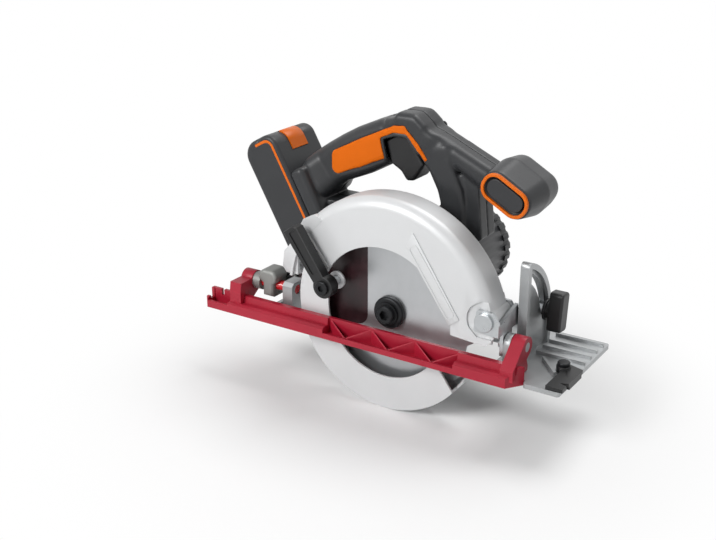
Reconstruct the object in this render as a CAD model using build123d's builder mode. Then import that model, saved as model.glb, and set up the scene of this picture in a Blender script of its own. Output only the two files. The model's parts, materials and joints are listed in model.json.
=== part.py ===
from build123d import *
import os
from math import acos, atan2, cos, degrees, pi, radians, sin, sqrt, tan

# Cordless circular saw. X forward, Y to the left, Z up, millimetres.
# The origin lies on the underside of the sole, below the arbor, in the plane of the blade.

# Clearances
seat = 0.05
run = 0.06
gap = 0.4

# Blade, flanges and spindle
blade_r = 82.5
blade_t = 1.6
tooth_count = 24
tooth_depth = 7.0
arbor_z = 27.5
spigot_r = 7.9
flange_in_r = 17.0
flange_in_t = 4.2
flange_out_r = 14.4
flange_out_t = 5.0
nose_r = 6.0
bolt_r = 4.0
bolt_head_r = 8.0
bolt_head_h = 4.4
washer_t = 1.6

# Gears and spindle bearings
gear_module = 1.0
gear_teeth = 45
pinion_teeth = 9
pressure = radians(20)
backlash = 0.25
motor_x = 7.0
gear_y = 27.4
gear_w = 7.4
front_bearing_r = 14.0
front_bearing_y = 16.1
front_bearing_w = 7.2
rear_bearing_r = 9.5
rear_bearing_w = 5.4
rear_journal_r = 5.0

# Upper guard
guard_r = 105.0
guard_wall = 2.7
guard_right = -16.0
guard_left = 16.0
crown_round = 10.0
window_x = 8.0
window_z = 26.0
window_r = 72.0

# Lower guard and its lever
lower_r = 87.0
lower_wall = 2.0
lower_opening_r = 57.0
lower_right = -12.0
lower_left = 10.0
hub_r = 22.0
lever_x = -48.0
lever_z = 50.0
lever_boss_r = 9.8
lever_y = -24.0
lever_t = 10.0
lever_screw_r = 2.5

# Depth pivot, front bracket and depth link
pivot_inset = 8.0
pivot_z = 46.5
pivot_r = 5.0
nose_lug_r = 9.4
nose_half = 14.1
cheek_y = 14.5
cheek_t = 3.0
bracket_ahead = 10.0
bracket_t = 3.0
link_behind = 60.0
link_w = 14.0
link_y = 17.0
link_t = 3.0
lock_stud_r = 4.0
lock_stud_angle = -5.3
rivet_x = -116.5

# Bevel axis, along X in the plane of the blade
bevel_z = 26.0
bevel_pin_r = 4.0
bevel_rod_r = 4.5
ear_r = 8.7
bevel_slot_r = 55.0
bevel_stud_r = 4.0
bevel_stud_angle = 77.0
bevel_range = 45.0
quadrant_r = 67.0
quadrant_t = 5.0
quadrant_rim = 3.0
quadrant_right = 16.0
rim_w = 5.0

# Sole, guide bar and sight insert
sole_ahead = 54.0
ear_front = 17.0
sole_rear = -125.0
sole_left = 88.0
sole_right = -20.0
sole_slot_left = 46.0
sole_slot_half = 98.0
sole_t = 4.0
bar_out = -29.0
bar_in = -15.0
bar_rear = -184.0
bar_ahead = 22.0
bar_step = -21.0
bar_floor = 2.5
bar_lip = 5.0
bar_low = 10.0
bar_high = 16.0

# Motor and its housing
case_r = 26.7
case_motor_r = 40.0
case_rear = 34.0
motor_r = 41.5
cap_rim = 1.5
scallop_count = 27
scallop_r = 3.2
motor_wall = 3.0
motor_left = 118.0
cap_left = 132.0
stator_in_r = 29.2
core_r = 28.4
core_left = 98.0
core_len = 46.0
shaft_r = 4.0
shaft_nose_r = 3.0
motor_bearing_r = 8.0

# Handle
hand_y = 52.0
grip_half = 18.0
grip_wall = 4.0
foot_half = 28.5
foot_shift = -2.0
foot_depth = 13.5
rail_x = -88.0
rail_z = 74.3
rail_lean = 29.5
rail_len = 58.0
stub_x = 92.2
stub_z = 141.5
stub_tilt = -30.0
stub_right = 20.0
stub_middle = 48.0
stub_left = 76.0
stub_long = 52.0
stub_short = 37.0
stub_round = 15.0
stub_shrink = 6.0
stub_flatten = 10.4
stub_pocket = 2.0
panel_depth = 1.3
panel_proud = 0.5
lock_off_x = -14.0
lock_off_z = 184.0
lock_off_r = 4.0
pocket_half = 20.0
rail_neck = 15.0
rail_head = 22.0

# Battery pack
pack_y = 48.5
pack_w = 62.0
pack_t = 39.0
pack_len = 101.5
pack_front_round = 12.0
pack_rear_round = 15.0
pack_edge = 3.5
cell_r = 9.2
cell_len = 50.0
cell_count = 5
cell_pitch = 19.0
cell_n = 22.8
pack_split_n = 18.0
button_half = 11.5
button_u = 80.0
button_deep = 7.0
button_press = 2.5

# Derived places
gear_distance = gear_module * (gear_teeth + pinion_teeth) / 2
motor_z = arbor_z + sqrt(gear_distance**2 - motor_x**2)
gullet_r = blade_r - tooth_depth
gear_line = atan2(motor_z - arbor_z, motor_x)
front_bearing_right = front_bearing_y - front_bearing_w
pivot_x = guard_r - pivot_inset
bracket_x = pivot_x + bracket_ahead
quadrant_x = bracket_x + bracket_t + 1.0
knob_x = quadrant_x + quadrant_t + quadrant_rim + gap
sole_front = quadrant_x + sole_ahead
bar_front = quadrant_x + bar_ahead
link_r = pivot_x + link_behind
stud_x = pivot_x - link_r * cos(radians(lock_stud_angle))
stud_z = pivot_z + link_r * sin(radians(lock_stud_angle))
bevel_stud_y = bevel_slot_r * sin(radians(bevel_stud_angle))
bevel_stud_z = bevel_z + bevel_slot_r * cos(radians(bevel_stud_angle))
rail_up = (-sin(radians(rail_lean)), 0, cos(radians(rail_lean)))
rail_back = (-cos(radians(rail_lean)), 0, -sin(radians(rail_lean)))


def side(y):
    """Plane at Y = y seen from the blade side: x forward, y up, normal to the right."""
    return Plane(origin=(0, y, 0), x_dir=(1, 0, 0), z_dir=(0, -1, 0))


def arbor(y):
    """Side plane with its origin on the arbor axis."""
    return Plane(origin=(0, y, arbor_z), x_dir=(1, 0, 0), z_dir=(0, -1, 0))


def motor(y):
    """Side plane with its origin on the motor axis."""
    return Plane(origin=(motor_x, y, motor_z), x_dir=(1, 0, 0), z_dir=(0, -1, 0))


def across(x):
    """Plane at X = x seen from the rear: x to the left, y up, normal forward."""
    return Plane(origin=(x, 0, 0), x_dir=(0, 1, 0), z_dir=(1, 0, 0))


def level(z):
    """Plane at Z = z seen from above."""
    return Plane(origin=(0, 0, z))


def rail(u):
    """Plane across the battery rail at u above its foot: x to the left, y backward."""
    origin = (rail_x + u * rail_up[0], pack_y, rail_z + u * rail_up[2])
    return Plane(origin=origin, x_dir=(0, 1, 0), z_dir=rail_up)


def polar(r, angle):
    """Point at a radius and an angle in degrees."""
    return (r * cos(radians(angle)), r * sin(radians(angle)))


def on_rail(u, n):
    """Side view point at u along the battery rail and n behind it."""
    return (rail_x + u * rail_up[0] + n * rail_back[0], rail_z + u * rail_up[2] + n * rail_back[2])


def on_rail_point(n):
    """Point in space at n behind the foot of the battery rail."""
    return (rail_x + n * rail_back[0], pack_y, rail_z + n * rail_back[2])


def oblong(x0, y0, x1, y1):
    """Corners of an upright rectangle between two opposite ones."""
    return [(x0, y0), (x1, y0), (x1, y1), (x0, y1)]


def slab(plane, points, thickness, mode=Mode.ADD, radius=0):
    """Plate of a straight-sided outline, its corners rounded by the radius."""
    with BuildSketch(plane) as face:
        with BuildLine():
            Polyline(*points, close=True)
        make_face()
        if radius:
            fillet(face.vertices(), radius)
    extrude(face.sketch, amount=thickness, mode=mode)


def rod(plane, x, y, r, length, mode=Mode.ADD):
    """Round bar standing on a plane."""
    with BuildSketch(plane) as face:
        with Locations((x, y)):
            Circle(r)
    extrude(face.sketch, amount=length, mode=mode)


def tube(plane, x, y, r, bore, length, mode=Mode.ADD):
    """Round tube standing on a plane."""
    with BuildSketch(plane) as face:
        with Locations((x, y)):
            Circle(r)
            Circle(bore, mode=Mode.SUBTRACT)
    extrude(face.sketch, amount=length, mode=mode)


def gear_points(teeth, tip_r, root_r, phase):
    """Outline of an involute gear with one tooth centred on the phase angle."""
    pitch_r = gear_module * teeth / 2
    base_r = pitch_r * cos(pressure)
    pitch_half = (pi * gear_module / 2 - backlash) / (2 * pitch_r)

    def half_width(r):
        turn = acos(min(1.0, base_r / r))
        return pitch_half + tan(pressure) - pressure - tan(turn) + turn

    start_r = max(base_r, root_r)
    flank = [root_r, start_r * 1.001, (start_r + tip_r) / 2, tip_r]
    points = []
    for index in range(teeth):
        centre = phase + 2 * pi * index / teeth
        for r in flank:
            angle = centre - half_width(max(r, start_r))
            points.append((r * cos(angle), r * sin(angle)))
        for r in reversed(flank):
            angle = centre + half_width(max(r, start_r))
            points.append((r * cos(angle), r * sin(angle)))
    return points


os.makedirs("parts", exist_ok=True)


# Saw blade with pointed hook teeth
tooth = [
    polar(blade_r, 0),
    polar(blade_r - 2.2, -7.5),
    polar(gullet_r, -10.5),
    polar(gullet_r - 3, -10.5),
    polar(gullet_r - 3, -1.7),
    polar(gullet_r, -1.7),
]
with BuildPart() as blade:
    with BuildSketch(arbor(blade_t / 2)):
        Circle(gullet_r)
        with PolarLocations(0, tooth_count):
            Polygon(*tooth, align=None)
        Circle(spigot_r + seat, mode=Mode.SUBTRACT)
        with PolarLocations(gullet_r - 6.5, 4, start_angle=47):
            Rectangle(13, 0.8, mode=Mode.SUBTRACT)
        with PolarLocations(gullet_r - 13, 4, start_angle=47):
            Circle(1.5, mode=Mode.SUBTRACT)
    extrude(amount=blade_t)
blade.part.label = "blade"
export_step(blade.part, "parts/blade.step")

# Inner flange with the spigot that centres the blade
flange_face = blade_t / 2
flange_hub_left = front_bearing_right - gap
with BuildPart() as inner_flange:
    rod(arbor(flange_face + flange_in_t), 0, 0, flange_in_r, flange_in_t)
    rod(arbor(flange_hub_left), 0, 0, 9.5, flange_hub_left - flange_face)
    rod(arbor(flange_face), 0, 0, spigot_r, blade_t - seat)
    chamfer(inner_flange.edges().filter_by(GeomType.CIRCLE).sort_by(SortBy.RADIUS)[-1], 0.8)
    rod(arbor(flange_hub_left), 0, 0, nose_r + seat, 30, Mode.SUBTRACT)
inner_flange.part.label = "inner_flange"
export_step(inner_flange.part, "parts/inner_flange.step")

# Outer flange, a dished disc
with BuildPart() as outer_flange:
    rod(arbor(-blade_t / 2), 0, 0, flange_out_r, flange_out_t)
    fillet(outer_flange.faces().sort_by(Axis.Y)[0].edges(), 2.0)
    rod(arbor(-blade_t / 2), 0, 0, flange_out_r - 4, 1.2, Mode.SUBTRACT)
    rod(arbor(0), 0, 0, bolt_r + seat, 30, Mode.SUBTRACT)
outer_flange.part.label = "outer_flange"
export_step(outer_flange.part, "parts/outer_flange.step")

# Blade bolt with a washer head and a hexagon socket
bolt_seat = -blade_t / 2 - flange_out_t
with BuildPart() as blade_bolt:
    rod(arbor(12), 0, 0, bolt_r, 12 - bolt_seat)
    rod(arbor(bolt_seat), 0, 0, bolt_head_r + 2.2, washer_t)
    rod(arbor(bolt_seat - washer_t), 0, 0, bolt_head_r, bolt_head_h)
    chamfer(blade_bolt.faces().sort_by(Axis.Y)[0].edges(), 1.0)
    with BuildSketch(arbor(bolt_seat - washer_t)):
        RegularPolygon(4.0, 6, major_radius=False)
    extrude(amount=bolt_head_h, mode=Mode.SUBTRACT)
blade_bolt.part.label = "blade_bolt"
export_step(blade_bolt.part, "parts/blade_bolt.step")

# Spindle, stepped for the flange, the two bearings and the gear
with BuildPart() as spindle:
    rod(arbor(front_bearing_y + gap), 0, 0, nose_r, front_bearing_y + gap + 0.6)
    rod(arbor(gear_y - gear_w), 0, 0, 8.5, gear_y - gear_w - front_bearing_y - gap)
    rod(arbor(gear_y), 0, 0, 7.0, gear_w)
    rod(arbor(case_rear - gap), 0, 0, rear_journal_r, case_rear - gap - gear_y)
    rod(arbor(12.5), 0, 0, bolt_r + seat, 20, Mode.SUBTRACT)
spindle.part.label = "spindle"
export_step(spindle.part, "parts/spindle.step")

# Drive gear on the spindle
with BuildPart() as drive_gear:
    with BuildSketch(arbor(gear_y)):
        with BuildLine():
            Polyline(*gear_points(gear_teeth, 23.0, 21.2, gear_line), close=True)
        make_face()
        Circle(7.0 + seat, mode=Mode.SUBTRACT)
        with PolarLocations(14.5, 6):
            Circle(3.0, mode=Mode.SUBTRACT)
    extrude(amount=gear_w)
drive_gear.part.label = "drive_gear"
export_step(drive_gear.part, "parts/drive_gear.step")

# Ball bearings of the spindle, as rings
with BuildPart() as spindle_bearings:
    tube(arbor(front_bearing_y), 0, 0, front_bearing_r, nose_r + run, front_bearing_w)
    rear_ring_left = case_rear - 0.4
    tube(arbor(rear_ring_left), 0, 0, rear_bearing_r, rear_journal_r + run, rear_bearing_w)
spindle_bearings.part.label = "spindle_bearings"
export_step(spindle_bearings.part, "parts/spindle_bearings.step")

# Hub that holds the front bearing and carries the lower guard
with BuildPart() as guard_hub:
    rod(arbor(guard_left + 3), 0, 0, 24.0, 3.0)
    rod(arbor(guard_left), 0, 0, hub_r, guard_left - 7.0)
    bearing_depth = guard_left + 3 - front_bearing_right
    rod(arbor(guard_left + 3), 0, 0, front_bearing_r + seat, bearing_depth, Mode.SUBTRACT)
    rod(arbor(20), 0, 0, 10.5, 20, Mode.SUBTRACT)
guard_hub.part.label = "guard_hub"
export_step(guard_hub.part, "parts/guard_hub.step")

# Gear case between the guard and the motor
case_screw_angles = (15, 85, 155)
case_screws = [polar(35.0, angle) for angle in case_screw_angles]
lock_button_z = 36.0
with BuildPart() as gear_case:
    with BuildSketch(side(case_rear)):
        with Locations((0, arbor_z)):
            Circle(case_r)
        with Locations((motor_x, motor_z)):
            Circle(case_motor_r)
        make_hull()
    extrude(amount=case_rear - guard_left)
    rod(motor(case_rear), 0, 0, motor_r, 3.0)
    with BuildSketch(side(30.5)):
        with Locations((0, arbor_z)):
            Circle(24.0 + seat)
        with Locations((motor_x, motor_z)):
            Circle(28.0)
        make_hull()
    extrude(amount=20, mode=Mode.SUBTRACT)
    rod(arbor(case_rear), 0, 0, 12.5, case_rear - 28.2)
    rod(motor(case_rear), 0, 0, 11.5, case_rear - 28.2)
    rod(across(30), 25, lock_button_z, 7.5, 16)
    rod(arbor(case_rear + 1), 0, 0, rear_bearing_r + seat, 10, Mode.SUBTRACT)
    rod(motor(case_rear + 1), 0, 0, motor_bearing_r + seat, 10, Mode.SUBTRACT)
    rod(across(20), 25, lock_button_z, 3.0 + gap, 30, Mode.SUBTRACT)
    for spot in case_screws:
        rod(motor(guard_left + 11), spot[0], spot[1], 2.0, 11, Mode.SUBTRACT)
gear_case.part.label = "gear_case"
export_step(gear_case.part, "parts/gear_case.step")

# Button that locks the spindle
with BuildPart() as spindle_lock_button:
    rod(across(26), 25, lock_button_z, 3.0, 24)
    rod(across(49.4), 25, lock_button_z, 6.0, 5)
    fillet(spindle_lock_button.faces().sort_by(Axis.X)[-1].edges(), 1.5)
spindle_lock_button.part.label = "spindle_lock_button"
export_step(spindle_lock_button.part, "parts/spindle_lock_button.step")

# Screws that hold the upper guard on the gear case
with BuildPart() as guard_screws:
    for spot in case_screws:
        rod(motor(guard_left + 9), spot[0], spot[1], 2.0 - seat, 9 + 2.5)
        rod(motor(guard_left - 2.5), spot[0], spot[1], 3.8, 2.2)
guard_screws.part.label = "guard_screws"
export_step(guard_screws.part, "parts/guard_screws.step")

# Upper guard: a turned shell with a rounded crown, trimmed to its two different walls
with BuildPart() as upper_guard:
    with BuildSketch(level(arbor_z)) as shell_face:
        with BuildLine():
            Polyline(*oblong(0, guard_right, guard_r, guard_left), close=True)
        make_face()
        rim = shell_face.vertices().group_by(Axis.X)[-1].sort_by(Axis.Y)
        fillet(rim[0], crown_round)
        rim = shell_face.vertices().group_by(Axis.X)[-1].sort_by(Axis.Y)
        fillet(rim[-1], crown_round / 2)
    revolve(axis=Axis((0, 0, arbor_z), (0, 1, 0)))
    with BuildSketch(level(arbor_z)) as hollow_face:
        with BuildLine():
            Polyline(*oblong(0, guard_right + guard_wall, guard_r - guard_wall, guard_left - 2.5), close=True)
        make_face()
        inner_rim = hollow_face.vertices().group_by(Axis.X)[-1].sort_by(Axis.Y)
        fillet(inner_rim[0], crown_round - guard_wall)
    revolve(axis=Axis((0, 0, arbor_z), (0, 1, 0)), mode=Mode.SUBTRACT)
    # Right side: arched window, straight front band and a slanted rear edge
    with BuildSketch(side(-4)):
        with BuildLine():
            Line((-104, 117), (-56, 57))
            arch_top = (window_x + window_r * cos(2.27), window_z + window_r * sin(2.27))
            ThreePointArc((-56, 57), arch_top, (23, 97))
            Polyline((23, 97), (65, 36), (75, 27), (84, 34), (120, 34), (120, -100))
            Polyline((120, -100), (-140, -100), (-140, 117), (-104, 117))
        make_face()
    extrude(amount=40, mode=Mode.SUBTRACT)
    # Left side: lower edge below the hub
    left_edge = [
        (-140, 40), (-92, 40), (-88, 14), (60, 14), (75, 27), (84, 34), (120, 34), (120, -100), (-140, -100),
    ]
    slab(side(40), left_edge, 44, Mode.SUBTRACT)
    # Raised front band and rear flange of the right wall
    slab(side(guard_right + 1), [(23, 97), (65, 36), (74, 43), (30, 109)], 2.0)
    flange_run = guard_r - 70
    flange_top = (-57 - 0.625 * flange_run, 58.3 + 0.781 * flange_run)
    flange = [flange_top, (-57, 58.3), (-52.5, 62), (flange_top[0] + 4.5, flange_top[1] + 3.7)]
    slab(side(guard_right + 1), flange, 2.6)
    # Dust outlet at the rear
    duct = [(8, 70), (0, 69), (-7, 61), (-9, 46), (-5, 41), (8, 41)]
    duct_hole = [(11, 67.5), (1, 66.5), (-10, 60), (-12, 46), (-4, 43.5), (11, 43.5)]
    slab(side(guard_left), [(x - guard_r, z) for x, z in duct], 17)
    slab(side(guard_left - 2.5), [(x - guard_r, z) for x, z in duct_hole], 12, Mode.SUBTRACT)
    # Nose with the depth pivot, narrower than the guard to sit between the bracket cheeks
    rod(side(40), pivot_x, pivot_z, 16.6, 40 - nose_half, Mode.SUBTRACT)
    rod(side(-nose_half), pivot_x, pivot_z, 16.6, 20, Mode.SUBTRACT)
    with BuildSketch(side(nose_half)):
        with Locations((pivot_x, pivot_z)):
            Circle(16.0)
        with Locations((0, arbor_z)):
            Circle(guard_r - 0.5, mode=Mode.INTERSECT)
            Circle(lower_r + 2.0, mode=Mode.SUBTRACT)
        with Locations((pivot_x, pivot_z)):
            Circle(nose_lug_r)
    extrude(amount=2 * nose_half)
    rod(side(40), pivot_x, pivot_z, pivot_r + run, 80, Mode.SUBTRACT)
    # Hub opening, gear case screws and the boss of the depth lock
    rod(arbor(40), 0, 0, hub_r + seat, 30, Mode.SUBTRACT)
    for spot in case_screws:
        rod(motor(guard_left + 1), spot[0], spot[1], 2.0 + seat, 6, Mode.SUBTRACT)
    rod(side(link_y - gap), stud_x, stud_z, 9.0, link_y - gap - guard_left)
    rod(side(40), stud_x, stud_z, lock_stud_r + seat, 30, Mode.SUBTRACT)
upper_guard.part.label = "upper_guard"
export_step(upper_guard.part, "parts/upper_guard.step")

# Lower guard: a channel with two unlike walls, a hub ring and a lug for the lever
rear_end = 160
rear_tip = polar(140, rear_end)
rear_cut = [(0, arbor_z), (rear_tip[0], arbor_z + rear_tip[1]), (-132, 160), (60, 160), (60, arbor_z)]
front_cut = [(30, arbor_z), (65, 1), (74, -18), (78, -30), (120, -30), (120, 160), (30, 160)]
lower_room = lower_left - lower_right - 2 * lower_wall
with BuildPart() as lower_guard:
    rod(arbor(lower_left), 0, 0, lower_r, lower_left - lower_right)
    rod(arbor(lower_left - lower_wall), 0, 0, lower_r - lower_wall, lower_room, Mode.SUBTRACT)
    rod(arbor(lower_left - lower_wall), 0, 0, lower_opening_r, 40, Mode.SUBTRACT)
    slab(side(-2), [(27, 30), (65, -23.4), (72, -33), (120, -33), (120, 160), (27, 160)], 30, Mode.SUBTRACT)
    slab(side(30), front_cut, 32, Mode.SUBTRACT)
    slab(side(30), rear_cut, 60, Mode.SUBTRACT)
    rod(arbor(12.5), 0, 0, 25.5, 12.5 - lower_left + lower_wall)
    rod(side(lower_right + lower_wall), lever_x, lever_z, 8.0, lower_wall)
    rod(arbor(30), 0, 0, hub_r + run, 26, Mode.SUBTRACT)
    rod(side(-5), lever_x, lever_z, lever_screw_r, 20, Mode.SUBTRACT)
lower_guard.part.label = "lower_guard"
export_step(lower_guard.part, "parts/lower_guard.step")

# Spacer between the lower guard and its lever
with BuildPart() as lever_spacer:
    tube(side(lower_right), lever_x, lever_z, 4.6, lever_screw_r + seat, lower_right - lever_y)
lever_spacer.part.label = "lever_spacer"
export_step(lever_spacer.part, "parts/lever_spacer.step")

# Lever of the lower guard, a channel with a squared end
tip_x = -79.0
tip_z = 93.0
lever_slope = degrees(atan2(tip_z - lever_z, tip_x - lever_x))
lever_len = sqrt((tip_x - lever_x) ** 2 + (tip_z - lever_z) ** 2)
with BuildPart() as lower_guard_lever:
    with BuildSketch(side(lever_y)):
        with Locations(Location((lever_x, lever_z), lever_slope)):
            Circle(lever_boss_r)
            lever_end = lever_len + 5
            Polygon((0, -6), (lever_end - 3, -7.4), (lever_end, -4.4), (lever_end, 7.4), (0, 6), align=None)
    extrude(amount=lever_t)
    with BuildSketch(side(lever_y - 2.5)):
        with Locations(Location((lever_x, lever_z), lever_slope)):
            with Locations((lever_len / 2 + 7.5, -1.2)):
                RectangleRounded(lever_len - 12, 7.6, 1.6)
    extrude(amount=lever_t, mode=Mode.SUBTRACT)
    rod(side(lever_y), lever_x, lever_z, lever_boss_r, lever_t)
    rod(side(lever_y + 1), lever_x, lever_z, lever_screw_r + seat, 20, Mode.SUBTRACT)
    fillet(lower_guard_lever.faces().sort_by(Axis.Y)[0].outer_wire().edges(), 0.8)
lower_guard_lever.part.label = "lower_guard_lever"
export_step(lower_guard_lever.part, "parts/lower_guard_lever.step")

# Screw that holds the lever and its spacer
with BuildPart() as lever_screw:
    screw_left = lower_right + lower_wall
    rod(side(screw_left), lever_x, lever_z, lever_screw_r - seat, screw_left - lever_y + lever_t)
    rod(side(lever_y - lever_t), lever_x, lever_z, 6.2, 2.6)
    fillet(lever_screw.faces().sort_by(Axis.Y)[0].edges(), 0.9)
    with BuildSketch(side(lever_y - lever_t - 0.6)):
        with Locations((lever_x, lever_z)):
            RegularPolygon(2.6, 6, major_radius=False)
    extrude(amount=4, mode=Mode.SUBTRACT)
lever_screw.part.label = "lever_screw"
export_step(lever_screw.part, "parts/lever_screw.step")

# Return spring of the lower guard, a flat spiral
with BuildPart() as guard_spring:
    with BuildSketch(arbor(13.1)):
        with BuildLine() as coil:
            start = 27.0
            for half_turn in range(7):
                sign = 1 if half_turn % 2 == 0 else -1
                first = (sign * start, 0)
                last = (-sign * (start + 0.7), 0)
                middle = (-sign * 0.35, sign * (start + 0.35))
                ThreePointArc(first, middle, last)
                start = start + 0.7
        trace(line_width=0.5)
    extrude(amount=2.4)
guard_spring.part.label = "guard_spring"
export_step(guard_spring.part, "parts/guard_spring.step")

# Depth pivot pin with its head on the right and a nut on the left
with BuildPart() as depth_pivot_pin:
    rod(side(cheek_y + cheek_t + 4.4), pivot_x, pivot_z, pivot_r, 2 * (cheek_y + cheek_t) + 4.4)
    rod(side(-cheek_y - cheek_t), pivot_x, pivot_z, 8.0, 2.6)
    fillet(depth_pivot_pin.faces().sort_by(Axis.Y)[0].edges(), 0.8)
    with BuildSketch(side(cheek_y + cheek_t + 3.8)):
        with Locations((pivot_x, pivot_z)):
            RegularPolygon(6.5, 6, major_radius=False)
    extrude(amount=3.8)
depth_pivot_pin.part.label = "depth_pivot_pin"
export_step(depth_pivot_pin.part, "parts/depth_pivot_pin.step")

# Front bracket: cheeks, web, tongue on the bevel pin and the arm of the bevel stud
with BuildPart() as front_bracket:
    web_front = bracket_x + bracket_t
    cheek = [(pivot_x - 9.5, 37), (web_front, 36), (web_front, 47), (pivot_x + 7, 56), (pivot_x - 7, 56)]
    slab(side(cheek_y + cheek_t), cheek, cheek_t, radius=2)
    slab(side(-cheek_y), cheek, cheek_t, radius=2)
    outer_y = cheek_y + cheek_t
    slab(across(bracket_x), [(-outer_y, 36), (outer_y, 36), (outer_y, 54), (-outer_y, 45)], bracket_t)
    slab(across(bracket_x), [(-8, 16.5), (8, 16.5), (8, 37), (-8, 37)], bracket_t)
    reach = (bevel_stud_y, bevel_stud_z)
    arm = [
        (10, 37), (reach[0] - 12, 30), (reach[0] + 6, reach[1] - 8), (reach[0] + 9, reach[1] + 3),
        (reach[0] + 2, reach[1] + 9), (reach[0] - 14, reach[1] + 9), (10, 52),
    ]
    slab(across(bracket_x), arm, bracket_t, radius=2)
    rod(side(40), pivot_x, pivot_z, pivot_r + seat, 80, Mode.SUBTRACT)
    rod(across(bracket_x - 7), 0, bevel_z, bevel_pin_r + run, 20, Mode.SUBTRACT)
    rod(across(bracket_x - 7), bevel_stud_y, bevel_stud_z, bevel_stud_r + seat, 20, Mode.SUBTRACT)
front_bracket.part.label = "front_bracket"
export_step(front_bracket.part, "parts/front_bracket.step")

# Stud of the bevel lock
knob_bar_x = knob_x + 5.0
with BuildPart() as bevel_stud:
    rod(across(bracket_x - 3.4), bevel_stud_y, bevel_stud_z, 6.5, 3.4)
    rod(across(bracket_x), bevel_stud_y, bevel_stud_z, bevel_stud_r, knob_bar_x + 4 - bracket_x)
bevel_stud.part.label = "bevel_stud"
export_step(bevel_stud.part, "parts/bevel_stud.step")

# Knob of the bevel lock, with a short hub and a cross bar
with BuildPart() as bevel_knob:
    rod(across(knob_x), bevel_stud_y, bevel_stud_z, 9.5, 2.4)
    rod(across(knob_x + 2.4), bevel_stud_y, bevel_stud_z, 7.5, 4)
    with BuildSketch(across(knob_bar_x)):
        with Locations((bevel_stud_y, bevel_stud_z)):
            RectangleRounded(34, 15, 3.5, rotation=84)
    extrude(amount=12)
    fillet(bevel_knob.faces().sort_by(Axis.X)[-1].edges(), 2.0)
    rod(across(knob_x - 1), bevel_stud_y, bevel_stud_z, bevel_stud_r + run, 10, Mode.SUBTRACT)
bevel_knob.part.label = "bevel_knob"
export_step(bevel_knob.part, "parts/bevel_knob.step")

# Bevel quadrant: an upright arch with an arc slot and a raised rim
bevel_axis = Plane(origin=(quadrant_x, 0, bevel_z), x_dir=(0, 1, 0), z_dir=(1, 0, 0))
arch_start = degrees(acos(quadrant_right / quadrant_r))
arch_end = 5.0


def arch(grow):
    """Outline of the quadrant about the bevel axis, drawn in by a margin."""
    with BuildSketch(bevel_axis) as face:
        with BuildLine():
            top = polar(quadrant_r - grow, degrees(acos((quadrant_right + grow) / (quadrant_r - grow))))
            low = polar(quadrant_r - grow, arch_end)
            Polyline(low, (low[0], sole_t - bevel_z), (quadrant_right + grow, sole_t - bevel_z), top)
            ThreePointArc(top, polar(quadrant_r - grow, (arch_start + arch_end) / 2), low)
        make_face()
    return face.sketch


with BuildPart() as bevel_quadrant:
    extrude(arch(0), amount=quadrant_t + quadrant_rim)
    extrude(arch(rim_w).moved(Location((quadrant_t, 0, 0))), amount=quadrant_rim, mode=Mode.SUBTRACT)
    with BuildSketch(bevel_axis):
        with BuildLine(mode=Mode.PRIVATE) as slot_path:
            CenterArc((0, 0), bevel_slot_r, 90 - bevel_stud_angle - 1, bevel_range + 2)
        SlotArc(slot_path.edges()[0], 2 * (bevel_stud_r + 0.3))
    extrude(amount=20, mode=Mode.SUBTRACT)
    fillet(bevel_quadrant.edges().filter_by(Axis.X).group_by(Axis.Z)[-1], 4.0)
bevel_quadrant.part.label = "bevel_quadrant"
export_step(bevel_quadrant.part, "parts/bevel_quadrant.step")

# Sole plate: open towards the guide bar, ribbed, with a lug for each bevel pivot
lug_front_x = bracket_x + bracket_t + 0.5
lug_rear_x = -109.0
notch_x = bar_front + 1.0
sight_x = sole_front - 12.5
sight_y = 18.0
with BuildPart() as sole_plate:
    plan = [
        (sole_rear, -13),
        (-sole_slot_half, -13),
        (-sole_slot_half, sole_slot_left),
        (sole_slot_half, sole_slot_left),
        (sole_slot_half, -13),
        (notch_x, -13),
        (notch_x, sole_right),
        (sole_front, sole_right),
        (sole_front, sole_left),
        (sole_rear, sole_left),
    ]
    slab(level(0), plan, sole_t, radius=2.5)
    # Stiffening ribs along the left, beside the slot, across the rear and over the front
    slab(level(sole_t - 1), oblong(sole_rear + 3, 83, 110, 86.5), 5)
    slab(level(sole_t - 1), oblong(sole_rear + 3, 49, 100, 52), 4)
    slab(level(sole_t - 1), oblong(sole_rear + 2, -12, sole_rear + 6, 86), 5)
    rib_rear = quadrant_x + quadrant_t + quadrant_rim + 1
    for y in (36.3, 49.8, 63, 77.8):
        slab(level(sole_t - 1), oblong(rib_rear, y, sole_front - 2, y + 2.4), 4)
    brace = [(-34.9, 26.2), (-33.1, 27.8), (-13.6, 5.8), (-15.4, 4.2)]
    slab(level(sole_t - 1), [(sole_front + x, y) for x, y in brace], 5)
    # Front lug, round about the pivot, and the square rear lug
    with BuildSketch(across(lug_front_x)):
        with BuildLine():
            Polyline((-ear_r, bevel_z), (-ear_r, sole_t - 1), (ear_r, sole_t - 1), (ear_r, bevel_z))
            ThreePointArc((ear_r, bevel_z), (0, bevel_z + ear_r), (-ear_r, bevel_z))
        make_face()
    extrude(amount=5.5)
    lug = [(-9, sole_t - 1), (12, sole_t - 1), (12, 30.5), (9, 33.5), (-6, 33.5), (-9, 30.5)]
    slab(across(lug_rear_x), lug, 10.6)
    rod(across(lug_front_x - 10), 0, bevel_z, bevel_pin_r + seat, 30, Mode.SUBTRACT)
    rod(across(-120), 0, bevel_z, bevel_rod_r + seat, 30, Mode.SUBTRACT)
    rod(level(-1), sight_x, sight_y, 2.5, 20, Mode.SUBTRACT)
sole_plate.part.label = "sole_plate"
export_step(sole_plate.part, "parts/sole_plate.step")

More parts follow.
